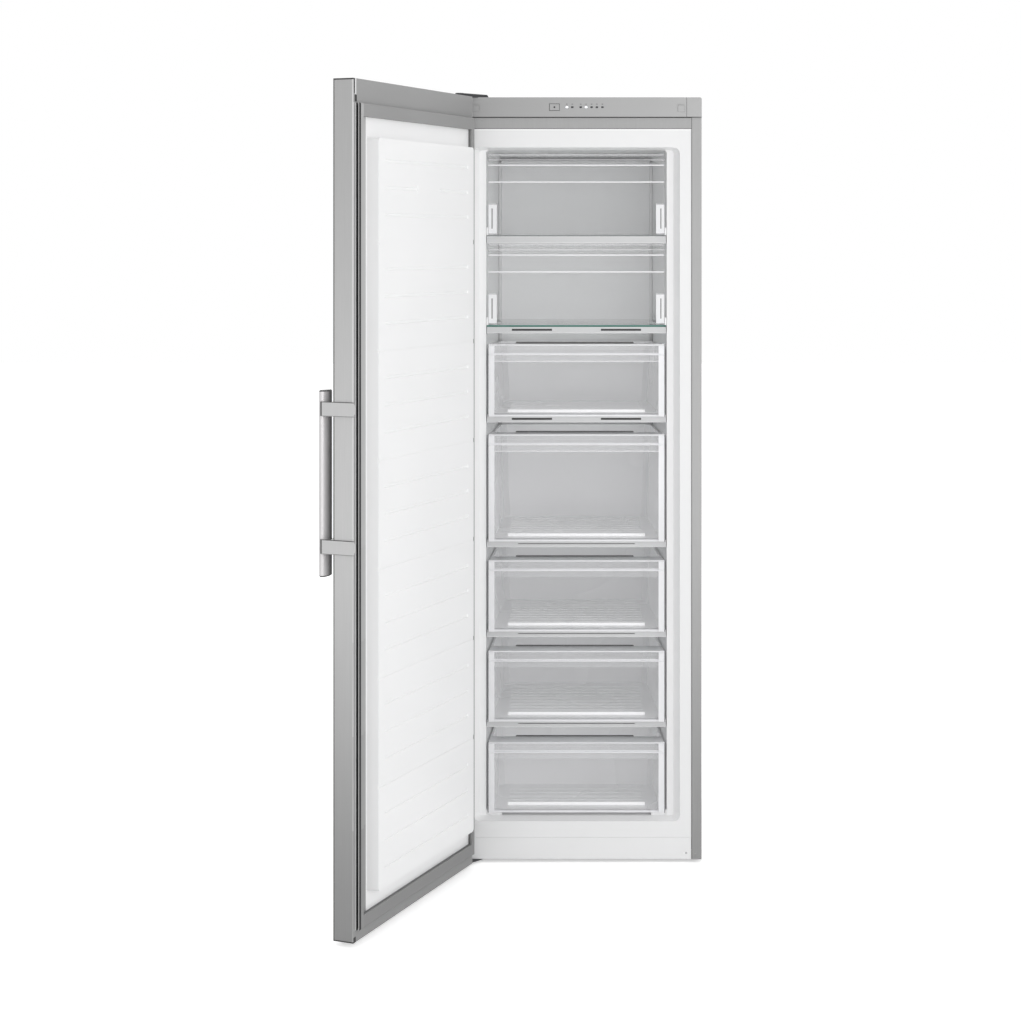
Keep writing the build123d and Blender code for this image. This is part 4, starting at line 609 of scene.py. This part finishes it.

# each step of painted shade and highlight: its foot and its head below the door's top, the seal's
# tone and the fold's
EDGE_SHADE_STEPS = (
    (-1.0, 0.001, 0.44, 0.74),
    (-1.2, -1.0, 0.41, 0.66),
    (-1.4, -1.2, 0.37, 0.59),
    (-1.6, -1.4, 0.33, 0.5),
    (-1.9, -1.6, 0.28, 0.4),
)
# painted shade, darker downwards, on the seal's face and along the foot of the lining's pad
for low, high, tone, _ in EDGE_SHADE_STEPS:
    paint_door(seal_grey, (-0.029, -0.0125), None, (low, high), grey(tone))
    paint_door(white_lining, (-0.056, -0.045), (0.02, 0.0283), (low, high), grey(tone))
# painted shade in the seal's two folds, and a painted highlight on the bead between them
paint_door(seal_grey, (-0.0172, -0.0118), (0.027, 0.0375), None, BLACK)
paint_door(seal_grey, (-0.0168, -0.0118), (0.0357, 0.04), None, BLACK)
paint_door(seal_grey, (-0.0152, -0.0118), (0.0338, 0.0356), None, grey(0.62))
# painted shade on the skin's return beside the seal and on the outer side of its fold
paint_door(door_steel, (-0.013, -0.0005), (0.0274, 0.0286), None, grey(0.42))
paint_door(door_steel, (-0.003, 0.001), (-0.022, -0.0174), None, grey(0.08))
# painted highlight along the fold's edge, dimmer downwards
for low, high, _, tone in EDGE_SHADE_STEPS:
    paint_door(door_steel, (-0.003, 0.001), (0.0255, 0.0282), (low, high), grey(tone))
print("door reach:", DOOR_REACH, "height:", round(DOOR_HEIGHT, 4))

# %% Joints of the door's caps
cap_foot = (-DOOR_HEIGHT - 0.001, -DOOR_HEIGHT + 0.0028)
foot_corner = (-DOOR_HEIGHT, -DOOR_HEIGHT + 0.012)
for material in (door_steel, cap_grey):
    paint_door(material, (-0.006, 0.001), None, (-0.0032, 0.001), grey(0.05))
    paint_door(material, (-0.004, 0.001), None, cap_foot, grey(0.05))
paint_door(cap_grey, (-0.012, -0.0005), (0.02, 0.05), foot_corner, grey(0.04))
paint_door(cap_grey, (-0.0078, -0.0032), None, (-0.032, 0.001), grey(0.04))
paint_door(cap_grey, (-0.0138, -0.0088), None, (-0.034, 0.001), grey(0.8))
paint_door(cap_grey, (-0.0166, -0.0064), None, (-0.05, -0.035), BLACK)
print("door foot:", round(DOOR_TOP - DOOR_HEIGHT, 4))

# %% [markdown]
# ## Shade on the handle
# The side of the bar that faces the door sees only the dark gap, painted shade, and its two ends
# are closed with dark plugs. The straps carry painted shade at their rounded tip against the bar,
# along their top edge and at their foot.


# %% Handle shading
def soft_door_strip(tree, direction, start, end):
    """A mask that rises smoothly between two distances from the hinge axis."""
    axis = PIVOT.dot(direction)
    rise = add_node(
        tree, "ShaderNodeMapRange", {"interpolation_type": "SMOOTHSTEP"},
        From_Min=axis + start, From_Max=axis + end,
    )
    join(tree, along_door(tree, direction), "Value", rise, "Value")
    return rise


bar_along, bar_inward = DOOR_REACH - 0.022, -0.051
tree = bar_metal.node_tree
# painted shade on the side of the bar that faces the door
rear = soft_door_strip(tree, DOOR_ALONG, bar_along + 0.0185, bar_along - 0.008)
inner = soft_door_strip(tree, DOOR_INWARD, bar_inward, bar_inward + 0.004)
gap_side_shade = both(tree, (rear, "Result"), (inner, "Result"))
paint_over(tree, gap_side_shade, 0, (0.035, 0.034, 0.034))

bar_low, bar_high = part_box("handle_bar")
paint_band(bar_metal, "Z", bar_low.z - 0.001, bar_low.z + 0.003, grey(0.06))
paint_band(bar_metal, "Z", bar_high.z - 0.003, bar_high.z + 0.001, grey(0.06))

tree = strap_metal.node_tree
# painted shade at each strap's rounded tip against the bar
tip_shade = door_strip(tree, DOOR_INWARD, bar_inward - 0.001, bar_inward + 0.0045)
paint_over(tree, tip_shade, "Mask", grey(0.14))
STRAP_HEIGHT = 0.032
# painted shade along each strap's top edge and at its foot
for top in (bar_low.z + 0.0815, bar_high.z - 0.024):
    foot = top - STRAP_HEIGHT
    paint_band(strap_metal, "Z", top - 0.0013, top + 0.001, grey(0.08))
    paint_band(strap_metal, "Z", foot, foot + 0.0023, grey(0.3))
print("bar from", round(bar_low.z, 4), "to", round(bar_high.z, 4))

# %% [markdown]
# ## Joints round the front
# Where the steel meets the lining there is a thin dark joint: down both sides and along the
# lower edge of the rail that the seal lands on.

# %% Front joints
STEEL_EDGE = 0.2725
tree = silver_steel.node_tree
for side in (-1, 1):
    edge = MIDDLE_X + side * STEEL_EDGE
    low, high = sorted((edge - side * 0.001, edge + side * 0.0018))
    split = place_of(tree)
    line = band_of(tree, split, "X", low, high)
    face = band_of(tree, split, "Y", FRONT_Y - 0.001, FRONT_Y + 0.001)
    joint = both(tree, (line, "Mask"), (face, "Mask"))
    paint_over(tree, joint, 0, grey(0.13))
rail_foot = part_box("seal_rail")[0].z
paint_band(shaded_landing_steel, "Z", rail_foot - 0.001, rail_foot + 0.0014, grey(0.14))
print("joints at", STEEL_EDGE, "on both sides, and at", round(rail_foot, 4))

# %% [markdown]
# ## Clear plastic
# The flaps and drawers are clear polystyrene. Real refraction through many walls would need
# very many light bounces, so the wall is made thin to the eye by alpha, with a glossy surface on
# top. Ledges and ribs are whiter and less clear, painted highlights that draw the bright lines
# along the tops of the fronts. The tubs behind the fronts are milky and glow very little, painted
# light in place of the light that scatters inside real ones.


# %% Clear finish
def clear_finish(
    name, colour, clear_alpha, ledge_alpha, roughness, solid=None, softer=(), lines=(), glow=0.0
):
    """solid is a depth, from and to, behind the cabinet's front, where the moulding is thick.
    Between the heights of softer the ridges' painted highlights show less. lines are (low, high,
    strength) in height, where the wall shows more, by that strength, mostly as painted highlights."""
    material, tree, shader = start_finish(name, roughness)
    shader.inputs["Base Color"].default_value = (*colour, 1.0)
    shader.inputs["IOR"].default_value = 1.58
    ledges = use_group(tree, ledge_highlights)
    surface = use_group(tree, moulded_surface)
    split = place_of(tree)
    # painted highlights: ledges and ribs are whiter and less clear
    mask = (ledges, "Mask")
    if solid:
        strip = band_of(tree, split, "Y", *behind_front(solid))
        mask = (either(tree, mask, (strip, "Mask")), 0)
    for low, high in softer:
        strip = band_of(tree, split, "Z", low, high)
        less = add_node(tree, "ShaderNodeMapRange", To_Min=1.0, To_Max=0.4)
        join(tree, strip, "Mask", less, "Value")
        mask = (both(tree, mask, (less, "Result")), 0)
    for low, high, strength in lines:
        strip = band_of(tree, split, "Z", low, high)
        line = add_node(tree, "ShaderNodeMath", {"operation": "MULTIPLY"})
        line.inputs[1].default_value = strength
        join(tree, strip, "Mask", line, 0)
        mask = (either(tree, mask, (line, 0)), 0)
    if glow:
        shader.inputs["Emission Color"].default_value = (*colour, 1.0)
        shader.inputs["Emission Strength"].default_value = glow
    cover = add_node(tree, "ShaderNodeMapRange", To_Min=clear_alpha, To_Max=ledge_alpha)
    gloss = value_between(tree, surface, "Waves", roughness - 0.03, roughness + 0.05)
    join(tree, *mask, cover, "Value")
    join(tree, cover, "Result", shader, "Alpha")
    join(tree, gloss, "Result", shader, "Roughness")
    return material


TUB_DEPTH = (0.043, 0.6)
# glow is painted light: the tubs and the ribs give off a little light of their own
clear_tub = clear_finish(
    "clear_tub", (0.9, 0.9, 0.91), 0.03, 0.9, 0.25, solid=TUB_DEPTH, glow=0.07
)
clear_rib = clear_finish("clear_rib", (0.95, 0.95, 0.96), 0.85, 0.95, 0.15, glow=0.25)
print("clear finishes:", clear_tub.name, clear_rib.name)

# %% [markdown]
# ## The drawer fronts and the flaps
# Each front has a thick frame, a faint haze near its top, and painted highlights at its top,
# below its grip and at its foot. Its two sides end in a dark line, painted shade of the narrow gap
# beside the drawer. The flaps' ridges have softer painted highlights where they overlap, and the
# slit in each lug lies deeper and carries painted shade. On the real ones light inside the wall
# draws these lines; here they are masks.

# %% Drawer fronts
CLEAR_WHITE = (0.9, 0.9, 0.92)
FRONT_FRAME, FRONT_SIDE_SHADE = (0.0, 0.0325), 0.0016
boxes = [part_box(f"drawer_{number}_front") for number in range(1, 6)]
front_tops = [high.z for low, high in boxes]
front_lines = [(top - 0.042, top - 0.003, 0.12) for top in front_tops]
# painted highlights along the top, below the grip and at the foot of each front
front_lines += [(top - 0.0045, top + 0.001, 1.0) for top in front_tops]
front_lines += [(top - 0.0255, top - 0.0215, 1.0) for top in front_tops]
front_lines += [(top - 0.0435, top - 0.0405, 0.45) for top in front_tops[:2]]
front_lines += [(low.z - 0.001, low.z + 0.0045, 0.9) for low, high in boxes]
clear_front = clear_finish(
    "clear_front", CLEAR_WHITE, 0.05, 0.9, 0.12, solid=FRONT_FRAME, lines=front_lines
)
# painted shade of the narrow gap beside each front, along its two sides
for low in (boxes[0][0].x, boxes[0][1].x - FRONT_SIDE_SHADE):
    paint_band(clear_front, "X", low, low + FRONT_SIDE_SHADE, (0.02, 0.02, 0.022))
print("front tops:", [round(top, 4) for top in front_tops])

# %% Flaps
FLAP_FRAME, LUG_SLIT = (0.0, 0.041), (0.0372, 0.0378)
OVERLAPS = ((1.699, 1.716), (1.48, 1.497))
clear_flap = clear_finish(
    "clear_flap", CLEAR_WHITE, 0.08, 0.85, 0.12, solid=FLAP_FRAME, softer=OVERLAPS
)
# painted shade in the lug's slit
paint_band(clear_flap, "Y", *behind_front(LUG_SLIT), grey(0.28))
print("lug slit, behind the front:", LUG_SLIT)

# %% [markdown]
# ## Glass with a green edge
# Float glass is green along its cut edge, because there the eye looks through its whole depth.
# The front edge is the strip nearest the door.


# %% Glass edge
GLASS_FRONT = (0.0405, 0.0416)


def edged_glass(name, edge_tone):
    material = clear_finish(name, (0.7, 0.85, 0.8), 0.07, 0.12, 0.06)
    tree = material.node_tree
    shader = tree.nodes["Principled BSDF"]
    cover = shader.inputs["Alpha"].links[0].from_node
    edge = band_of(tree, place_of(tree), "Y", *behind_front(GLASS_FRONT))
    solid = either(tree, (cover, "Result"), (edge, "Mask"))
    paint_over(tree, edge, "Mask", edge_tone)
    join(tree, solid, 0, shader, "Alpha")
    return material


green_edged_glass = edged_glass("green_edged_glass", (0.005, 0.16, 0.12))
dark_edged_glass = edged_glass("dark_edged_glass", (0.16, 0.18, 0.18))
pale_edged_glass = edged_glass("pale_edged_glass", (0.5, 0.53, 0.53))
print("glass edge, behind the front:", GLASS_FRONT)

# %% [markdown]
# ## Dress the pieces
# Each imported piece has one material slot. Its finish is put there, and the piece itself is
# left as it is.


# %% Put the finishes on
def dress(material, *names):
    for name in names:
        pieces[name].material_slots[0].material = material


def numbered(pattern, count):
    return [pattern.format(number) for number in range(1, count + 1)]


dress(silver_steel, "side_panel_left", "side_panel_right", "top_cover")
dress(door_steel, "door_skin")
dress(shaded_landing_steel, "seal_rail")
dress(galvanised, "back_panel", "base_pan", "machine_tray")
dress(dark_steel, "compressor", "top_hinge", "bottom_hinge")
dress(panel_grey, "control_panel", "mode_button")
dress(cap_grey, "door_cap_top", "door_cap_bottom")
dress(bar_metal, "handle_bar")
dress(strap_metal, "handle_brackets")
dress(white_lining, "door_liner", "flap_bearings")
dress(room_lining, "inner_liner", "plinth")
dress(back_lining_light_and_shade, "duct_cover")
dress(slotted_trim, "shelf_trim_1", "shelf_trim_3")
dress(glass_reflection_trim, "shelf_trim_2")
dress(lined_trim, "shelf_trim_4", "shelf_trim_5", "shelf_trim_6")
dress(clear_flap, "flap_upper", "flap_lower")
dress(clear_front, *numbered("drawer_{}_front", 5))
dress(clear_tub, *numbered("drawer_{}_tub", 5))
dress(dark_edged_glass, "glass_shelf_1")
dress(green_edged_glass, "glass_shelf_2")
dress(pale_edged_glass, *numbered("glass_shelf_{}", 6)[2:])
dress(seal_grey, "door_seal")
dress(black_plastic, "top_hinge_cover", "front_feet", "fan_rotor", "roller_left", "roller_right")
dress(grey_plastic, "fan_motor", "hinge_bushes")
dress(black_rubber, "compressor_bushes")
dress(foam, "insulation", "door_insulation")
dress(coil_metal, "evaporator")
dress(board_green, "control_board")
dress(light_guide, "indicator_lights")
used = {piece.material_slots[0].material.name for piece in pieces.values()}
print("finishes in use:", len(used))

# %% [markdown]
# ## Helpers for modelling the small fittings
# Screws, plugs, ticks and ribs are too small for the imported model. Each starts as a block or a
# disc and is shaped in edit mode. Faces and edges are chosen by where they are or which way
# they look, so the steps read like work by hand.


# %% Modelling helpers
def begin_piece(name, add_primitive):
    """Run an add operator and open its piece in edit mode, at the origin, nothing selected."""
    bpy.ops.object.select_all(action="DESELECT")
    add_primitive()
    piece = bpy.context.active_object
    piece.name = name
    bpy.ops.object.transform_apply(location=True, rotation=True, scale=True)
    bpy.ops.object.mode_set(mode="EDIT")
    bpy.ops.mesh.select_all(action="DESELECT")
    return piece


def begin_block(name, low, high):
    middle = (Vector(low) + Vector(high)) / 2
    size = Vector(high) - Vector(low)
    return begin_piece(
        name, lambda: bpy.ops.mesh.primitive_cube_add(size=1.0, location=middle, scale=size)
    )


def begin_disc(name, middle, radius, thickness, sides=20):
    """A short cylinder whose axis lies along the depth."""
    return begin_piece(
        name,
        lambda: bpy.ops.mesh.primitive_cylinder_add(
            vertices=sides, radius=radius, depth=thickness, location=middle,
            rotation=(math.radians(90.0), 0.0, 0.0),
        ),
    )


def choose_faces(piece, test):
    """Select only the faces whose middle and normal pass the test."""
    bpy.ops.mesh.select_mode(type="FACE")
    bpy.ops.mesh.select_all(action="DESELECT")
    mesh = bmesh.from_edit_mesh(piece.data)
    for face in mesh.faces:
        if test(face.calc_center_median(), face.normal):
            face.select_set(True)
    bmesh.update_edit_mesh(piece.data)


def choose_edges(piece, test):
    """Select only the edges whose two ends pass the test."""
    bpy.ops.mesh.select_mode(type="EDGE")
    bpy.ops.mesh.select_all(action="DESELECT")
    mesh = bmesh.from_edit_mesh(piece.data)
    for edge in mesh.edges:
        if test(edge.verts[0].co, edge.verts[1].co):
            edge.select_set(True)
    bmesh.update_edit_mesh(piece.data)


def faces_front(place, normal):
    return normal.y < -0.9


def finish_piece(piece, material, body):
    """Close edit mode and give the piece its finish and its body."""
    bpy.ops.object.mode_set(mode="OBJECT")
    bpy.ops.object.shade_smooth_by_angle(angle=math.radians(35.0))
    piece.data.materials.clear()
    piece.data.materials.append(material)
    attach(piece, body)
    return piece


def copy_piece(piece, name, move, body):
    """Another of the same, with its own mesh, moved in its mesh so that it stays at the origin."""
    other = piece.copy()
    other.data = piece.data.copy()
    other.name = name
    bpy.context.scene.collection.objects.link(other)
    for vertex in other.data.vertices:
        vertex.co += Vector(move)
    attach(other, body)
    return other


# %% [markdown]
# ## The control panel's small parts
# A dark dot on the button and a smoked rim round it, painted shade of the gap round the button,
# a lens and a tick for each light, and a square plug near each end that hides a screw.


# %% Button dot and rim
panel_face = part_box("control_panel")[0].y


def begin_plate(name, middle_x, middle_z, half_x, half_z, proud, sunk):
    """A block on the panel, proud before its face and sunk behind it by so much."""
    return begin_block(
        name,
        (middle_x - half_x, panel_face - proud, middle_z - half_z),
        (middle_x + half_x, panel_face + sunk, middle_z + half_z),
    )


button_low, button_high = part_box("mode_button")
button_middle = (button_low + button_high) / 2

dot_place = (button_middle.x, button_low.y, button_middle.z)
dot = begin_disc("button_dot", dot_place, 0.0022, 0.0006, 16)
choose_faces(dot, faces_front)
bpy.ops.mesh.inset(thickness=0.0007)
bpy.ops.transform.translate(value=(0.0, 0.0002, 0.0))
finish_piece(dot, black_plastic, "button")

# the rim is a dark ring that paints the shade in the gap round the button
rim_x = button_high.x - button_middle.x + 0.0014
rim_z = button_high.z - button_middle.z + 0.0014
rim = begin_plate("button_gap_shade", button_middle.x, button_middle.z, rim_x, rim_z, 0.0003, 0.0003)
choose_faces(rim, lambda place, normal: abs(normal.y) > 0.9)
bpy.ops.mesh.inset(thickness=0.0011, use_individual=True)
bpy.ops.mesh.bridge_edge_loops()
finish_piece(rim, smoked_plastic, "cabinet")
print("button:", button_low, button_high)

# %% Lenses and ticks
lights_low, lights_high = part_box("indicator_lights")
lens_z = (lights_low.z + lights_high.z) / 2
lens = begin_plate("light_lens_1", LIGHT_PLACES[0], lens_z, 0.0031, 0.0021, 0.0004, 0.0003)
choose_edges(lens, lambda a, b: abs(a.y - b.y) > 0.0003)
bpy.ops.mesh.bevel(offset=0.0015, segments=4)
choose_faces(lens, faces_front)
bpy.ops.mesh.inset(thickness=0.0004)
bpy.ops.transform.translate(value=(0.0, -0.0002, 0.0))
finish_piece(lens, light_guide, "cabinet")

tick_z = lens_z + 0.0074
tick = begin_plate("light_tick_1", LIGHT_PLACES[0], tick_z, 0.0019, 0.0006, 0.00015, 0.0003)
choose_faces(tick, faces_front)
bpy.ops.mesh.bevel(offset=0.0001, segments=1)
finish_piece(tick, black_plastic, "cabinet")
for number, place in enumerate(LIGHT_PLACES[1:], 2):
    move = (place - LIGHT_PLACES[0], 0.0, 0.0)
    copy_piece(lens, f"light_lens_{number}", move, "cabinet")
    copy_piece(tick, f"light_tick_{number}", move, "cabinet")
print("lenses and ticks:", 2 * len(LIGHT_PLACES))

# %% Panel plugs
plug_x, plug_z, plug_half = 0.2483, 1.8228, 0.0088
plug_middle = MIDDLE_X + plug_x
plug = begin_plate("panel_plug_right", plug_middle, plug_z, plug_half, plug_half, 0.0005, 0.0005)
choose_edges(plug, lambda a, b: abs(a.y - b.y) > 0.0005)
bpy.ops.mesh.bevel(offset=0.0018, segments=4)
choose_faces(plug, faces_front)
bpy.ops.mesh.inset(thickness=0.0009)
bpy.ops.mesh.extrude_region_move(TRANSFORM_OT_translate={"value": (0.0, 0.0006, 0.0)})
bpy.ops.mesh.inset(thickness=0.0004)
bpy.ops.transform.translate(value=(0.0, -0.0006, 0.0))
finish_piece(plug, panel_grey, "cabinet")
copy_piece(plug, "panel_plug_left", (-2 * plug_x, 0.0, 0.0), "cabinet")
print("plugs:", 2)

# %% [markdown]
# ## Screws
# A pan-head screw is modelled in one way: a disc with an eased rim and a sunk socket. Such
# screws hold the back and the foot of the front flange, and two grey plugs of the same shape
# close the screw holes of the plinth.


# %% Screws
def make_screw(name, middle, radius, toward):
    """toward is -1 for a screw that looks out of the front and 1 for one in the back."""

    def head(place, normal):
        return normal.y * toward > 0.99 and (place - Vector(middle)).xz.length < 1e-4

    screw = begin_disc(name, middle, radius, 0.0024, 24)
    choose_faces(screw, lambda place, normal: normal.y * toward > 0.9)
    bpy.ops.mesh.bevel(offset=0.0007, segments=3)
    choose_faces(screw, head)
    bpy.ops.mesh.inset(thickness=radius * 0.35)
    bpy.ops.mesh.extrude_region_move(TRANSFORM_OT_translate={"value": (0.0, -0.001 * toward, 0.0)})
    bpy.ops.mesh.inset(thickness=radius * 0.1)
    return screw


screw_metal = steel_finish("screw_metal", grey(0.3), grey(0.5), 0.3, 0.8)
flange_x, cover_x = 0.2821, 0.2603
flange_place = (MIDDLE_X + flange_x, FRONT_Y, 0.022)
flange_screw = make_screw("flange_screw_right", flange_place, 0.0026, -1)
finish_piece(flange_screw, screw_metal, "cabinet")
copy_piece(flange_screw, "flange_screw_left", (-2 * flange_x, 0.0, 0.0), "cabinet")
cover_place = (MIDDLE_X + cover_x, plinth_low.y + 0.001, 0.0232)
plinth_plug = make_screw("plinth_plug_right", cover_place, 0.0026, -1)
finish_piece(plinth_plug, grey_plastic, "cabinet")
copy_piece(plinth_plug, "plinth_plug_left", (-2 * cover_x, 0.0, 0.0), "cabinet")
print("foot screws and plugs: 4")

# %% Screws of the back
back_low, back_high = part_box("back_panel")
back_face = back_high.y - 0.0014
screw_x = back_high.x - 0.012
rows = [back_low.z + 0.03 + (back_high.z - back_low.z - 0.06) * step / 4 for step in range(5)]
back_screw = make_screw("back_screw_1", (screw_x, back_face, rows[0]), 0.004, 1)
finish_piece(back_screw, screw_metal, "cabinet")
count = 1
for side in (0, 1):
    for row in rows[0 if side else 1:]:
        count += 1
        move = (side * (back_low.x + 0.012 - screw_x), 0.0, row - rows[0])
        copy_piece(back_screw, f"back_screw_{count}", move, "cabinet")
print("back screws:", count)

# %% [markdown]
# ## Ribs along the drawer floors
# Just behind each clear front a low rib stands on the floor of the tub. Its eased top is the
# bright strip that shows through the front; the rib's finish glows a little, painted light.


# %% Drawer ribs
def copy_to_drawers(piece, name, levels):
    """Copy the first drawer's piece to the others, each at its own level."""
    for number, level in enumerate(levels[1:], 2):
        move = (0.0, 0.0, level - levels[0])
        copy_piece(piece, f"{name}_{number}", move, f"drawer_{number}")


room_low, room_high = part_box("drawer_1_tub")
room_x = (room_low.x + room_high.x) / 2
rib_floors = [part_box(name)[0].z for name in numbered("drawer_{}_tub", 5)]
rib_half, rib_y, rib_height = 0.1685, FRONT_Y + 0.072, 0.0065
rib = begin_block(
    "drawer_rib_1",
    (room_x - rib_half, rib_y - 0.003, rib_floors[0] + 0.002),
    (room_x + rib_half, rib_y + 0.003, rib_floors[0] + 0.002 + rib_height),
)
choose_edges(rib, lambda a, b: abs(a.z - b.z) > 0.001)
bpy.ops.mesh.bevel(offset=0.0025, segments=4)
choose_faces(rib, lambda place, normal: normal.z > 0.9)
bpy.ops.mesh.bevel(offset=0.0012, segments=3)
finish_piece(rib, clear_rib, "drawer_1")
copy_to_drawers(rib, "drawer_rib", rib_floors)
print("drawer ribs:", len(rib_floors))

# %% [markdown]
# ## Lips behind the grips
# The level plate behind each drawer's top ends in a low smoked lip with rounded ends. From
# above it is the thin dark line over the drawer.

# %% Grip lips
lip_half, lip_y = 0.145, FRONT_Y + 0.0823
lip = begin_block(
    "grip_lip_1",
    (room_x - 0.004 - lip_half, lip_y - 0.0007, front_tops[0] - 0.0004),
    (room_x - 0.004 + lip_half, lip_y + 0.0007, front_tops[0] + 0.0032),
)
choose_edges(lip, lambda a, b: abs(a.y - b.y) > 0.001 and a.z > front_tops[0] + 0.001)
bpy.ops.mesh.bevel(offset=0.0028, segments=5)
choose_faces(lip, faces_front)
bpy.ops.mesh.inset(thickness=0.0004)
bpy.ops.transform.translate(value=(0.0, -0.0003, 0.0))
finish_piece(lip, smoked_plastic, "drawer_1")
copy_to_drawers(lip, "grip_lip", front_tops)
print("grip lips:", len(front_tops))

# %% [markdown]
# ## Lips in the air gaps
# Cold air comes out along a gap on each side of the rear cover. A pale lip stands in each gap,
# just behind the cover's eased edge, so that the gap shows as a thin line and not a black slot.

# %% Air gap lips
duct_low, duct_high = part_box("duct_cover")
AIR_LIP = (0.0003, 0.0045)
air_lip = begin_block(
    "air_lip_right",
    (duct_high.x + AIR_LIP[0], duct_low.y + 0.0026, duct_low.z + 0.004),
    (duct_high.x + AIR_LIP[1], duct_low.y + 0.0046, duct_high.z - 0.004),
)
choose_edges(air_lip, lambda a, b: max(a.y, b.y) < duct_low.y + 0.003 and abs(a.z - b.z) > 0.1)
bpy.ops.mesh.bevel(offset=0.0005, segments=3)
finish_piece(air_lip, white_lining, "cabinet")
move = (duct_low.x - duct_high.x - sum(AIR_LIP), 0.0, 0.0)
copy_piece(air_lip, "air_lip_left", move, "cabinet")
print("air gap lips: 2")

# %% [markdown]
# ## Floor and background
# The floor is a large pale sheet, lifted to white for the camera alone, so that it keeps the
# soft shadow and throws no extra light. The world is white to the camera and to reflections,
# and gentler to diffuse light, so that the white cabinet keeps its shading.


# %% Floor
bpy.ops.object.select_all(action="DESELECT")
bpy.ops.mesh.primitive_plane_add(size=40.0, location=(MIDDLE_X, 0.0, 0.0))
floor = bpy.context.active_object
floor.name = "floor"
floor_paint, tree, shader = start_finish("floor_paint", 0.7)
surface = use_group(tree, moulded_surface, Grain_Scale=60.0, Wave_Scale=0.4)
tone = shade_between(tree, surface, "Waves", grey(0.94), grey(0.96))
join(tree, tone, 2, shader, "Base Color")
rays = add_node(tree, "ShaderNodeLightPath")
lift = add_node(tree, "ShaderNodeMath", {"operation": "MULTIPLY"})
lift.inputs[1].default_value = 0.5
join(tree, rays, "Is Camera Ray", lift, 0)
join(tree, lift, 0, shader, "Emission Strength")
shader.inputs["Emission Color"].default_value = (1.0, 1.0, 1.0, 1.0)
floor.data.materials.append(floor_paint)
print("floor:", floor.dimensions)

# %% World
world = bpy.data.worlds.new("studio")
bpy.context.scene.world = world
world.use_nodes = True
tree = world.node_tree
soft = tree.nodes["Background"]
soft.inputs["Color"].default_value = (1.0, 1.0, 1.0, 1.0)
soft.inputs["Strength"].default_value = 0.67
white = add_node(tree, "ShaderNodeBackground", Color=(1.0, 1.0, 1.0, 1.0), Strength=1.0)
rays = add_node(tree, "ShaderNodeLightPath")
seen = either(tree, (rays, "Is Camera Ray"), (rays, "Is Transmission Ray"))
mirrored = either(tree, (seen, 0), (rays, "Is Glossy Ray"))
blend = add_node(tree, "ShaderNodeMixShader")
join(tree, mirrored, 0, blend, 0)
join(tree, soft, 0, blend, 1)
join(tree, white, 0, blend, 2)
join(tree, blend, 0, tree.nodes["World Output"], "Surface")
print("world:", world.name, "with", len(tree.nodes), "nodes")

# %% [markdown]
# ## Lamps
# One broad lamp stands in front, at the height of the chest, and a second to the right lights
# the open door. One from above and one from behind keep the top and the back readable.


# %% Lamps
CABINET_MIDDLE = Vector((MIDDLE_X, 0.3, 0.95))


def add_lamp(name, place, size, power):
    """A square lamp, size metres wide, that looks at the middle of the cabinet."""
    data = bpy.data.lights.new(name, "AREA")
    data.size, data.energy = size, power
    lamp = bpy.data.objects.new(name, data)
    bpy.context.scene.collection.objects.link(lamp)
    lamp.location = place
    lamp.rotation_euler = (CABINET_MIDDLE - Vector(place)).to_track_quat("-Z", "Y").to_euler()


add_lamp("front_lamp", (MIDDLE_X + 0.7, -4.4, 1.5), 2.6, 34.0)
add_lamp("side_lamp", (MIDDLE_X + 2.8, -2.6, 1.8), 1.8, 25.0)
add_lamp("top_lamp", (MIDDLE_X, 0.6, 4.4), 2.4, 18.0)
add_lamp("back_lamp", (MIDDLE_X - 1.4, 4.2, 2.2), 2.2, 24.0)
print("lamps:", len(bpy.data.lights))

# %% [markdown]
# ## Camera
# The photograph was taken from nearly five metres, level, at eye height, with the lens shifted
# so that the upright edges stay parallel.

# %% Camera
camera_data = bpy.data.cameras.new("camera")
camera_data.lens = 70.45
camera_data.sensor_width = 36.0
camera_data.shift_x = -0.0530
camera_data.shift_y = -0.2621
camera_data.clip_end = 100.0
camera = bpy.data.objects.new("camera", camera_data)
bpy.context.scene.collection.objects.link(camera)
camera.location = (MIDDLE_X - 0.0338, FRONT_Y - 4.83, 1.4982)
camera.rotation_euler = (math.radians(90.0), 0.0, 0.0)
bpy.context.scene.camera = camera
print("camera at", camera.location, "lens", camera_data.lens)

# %% Colour management
bpy.context.scene.view_settings.view_transform = "Standard"
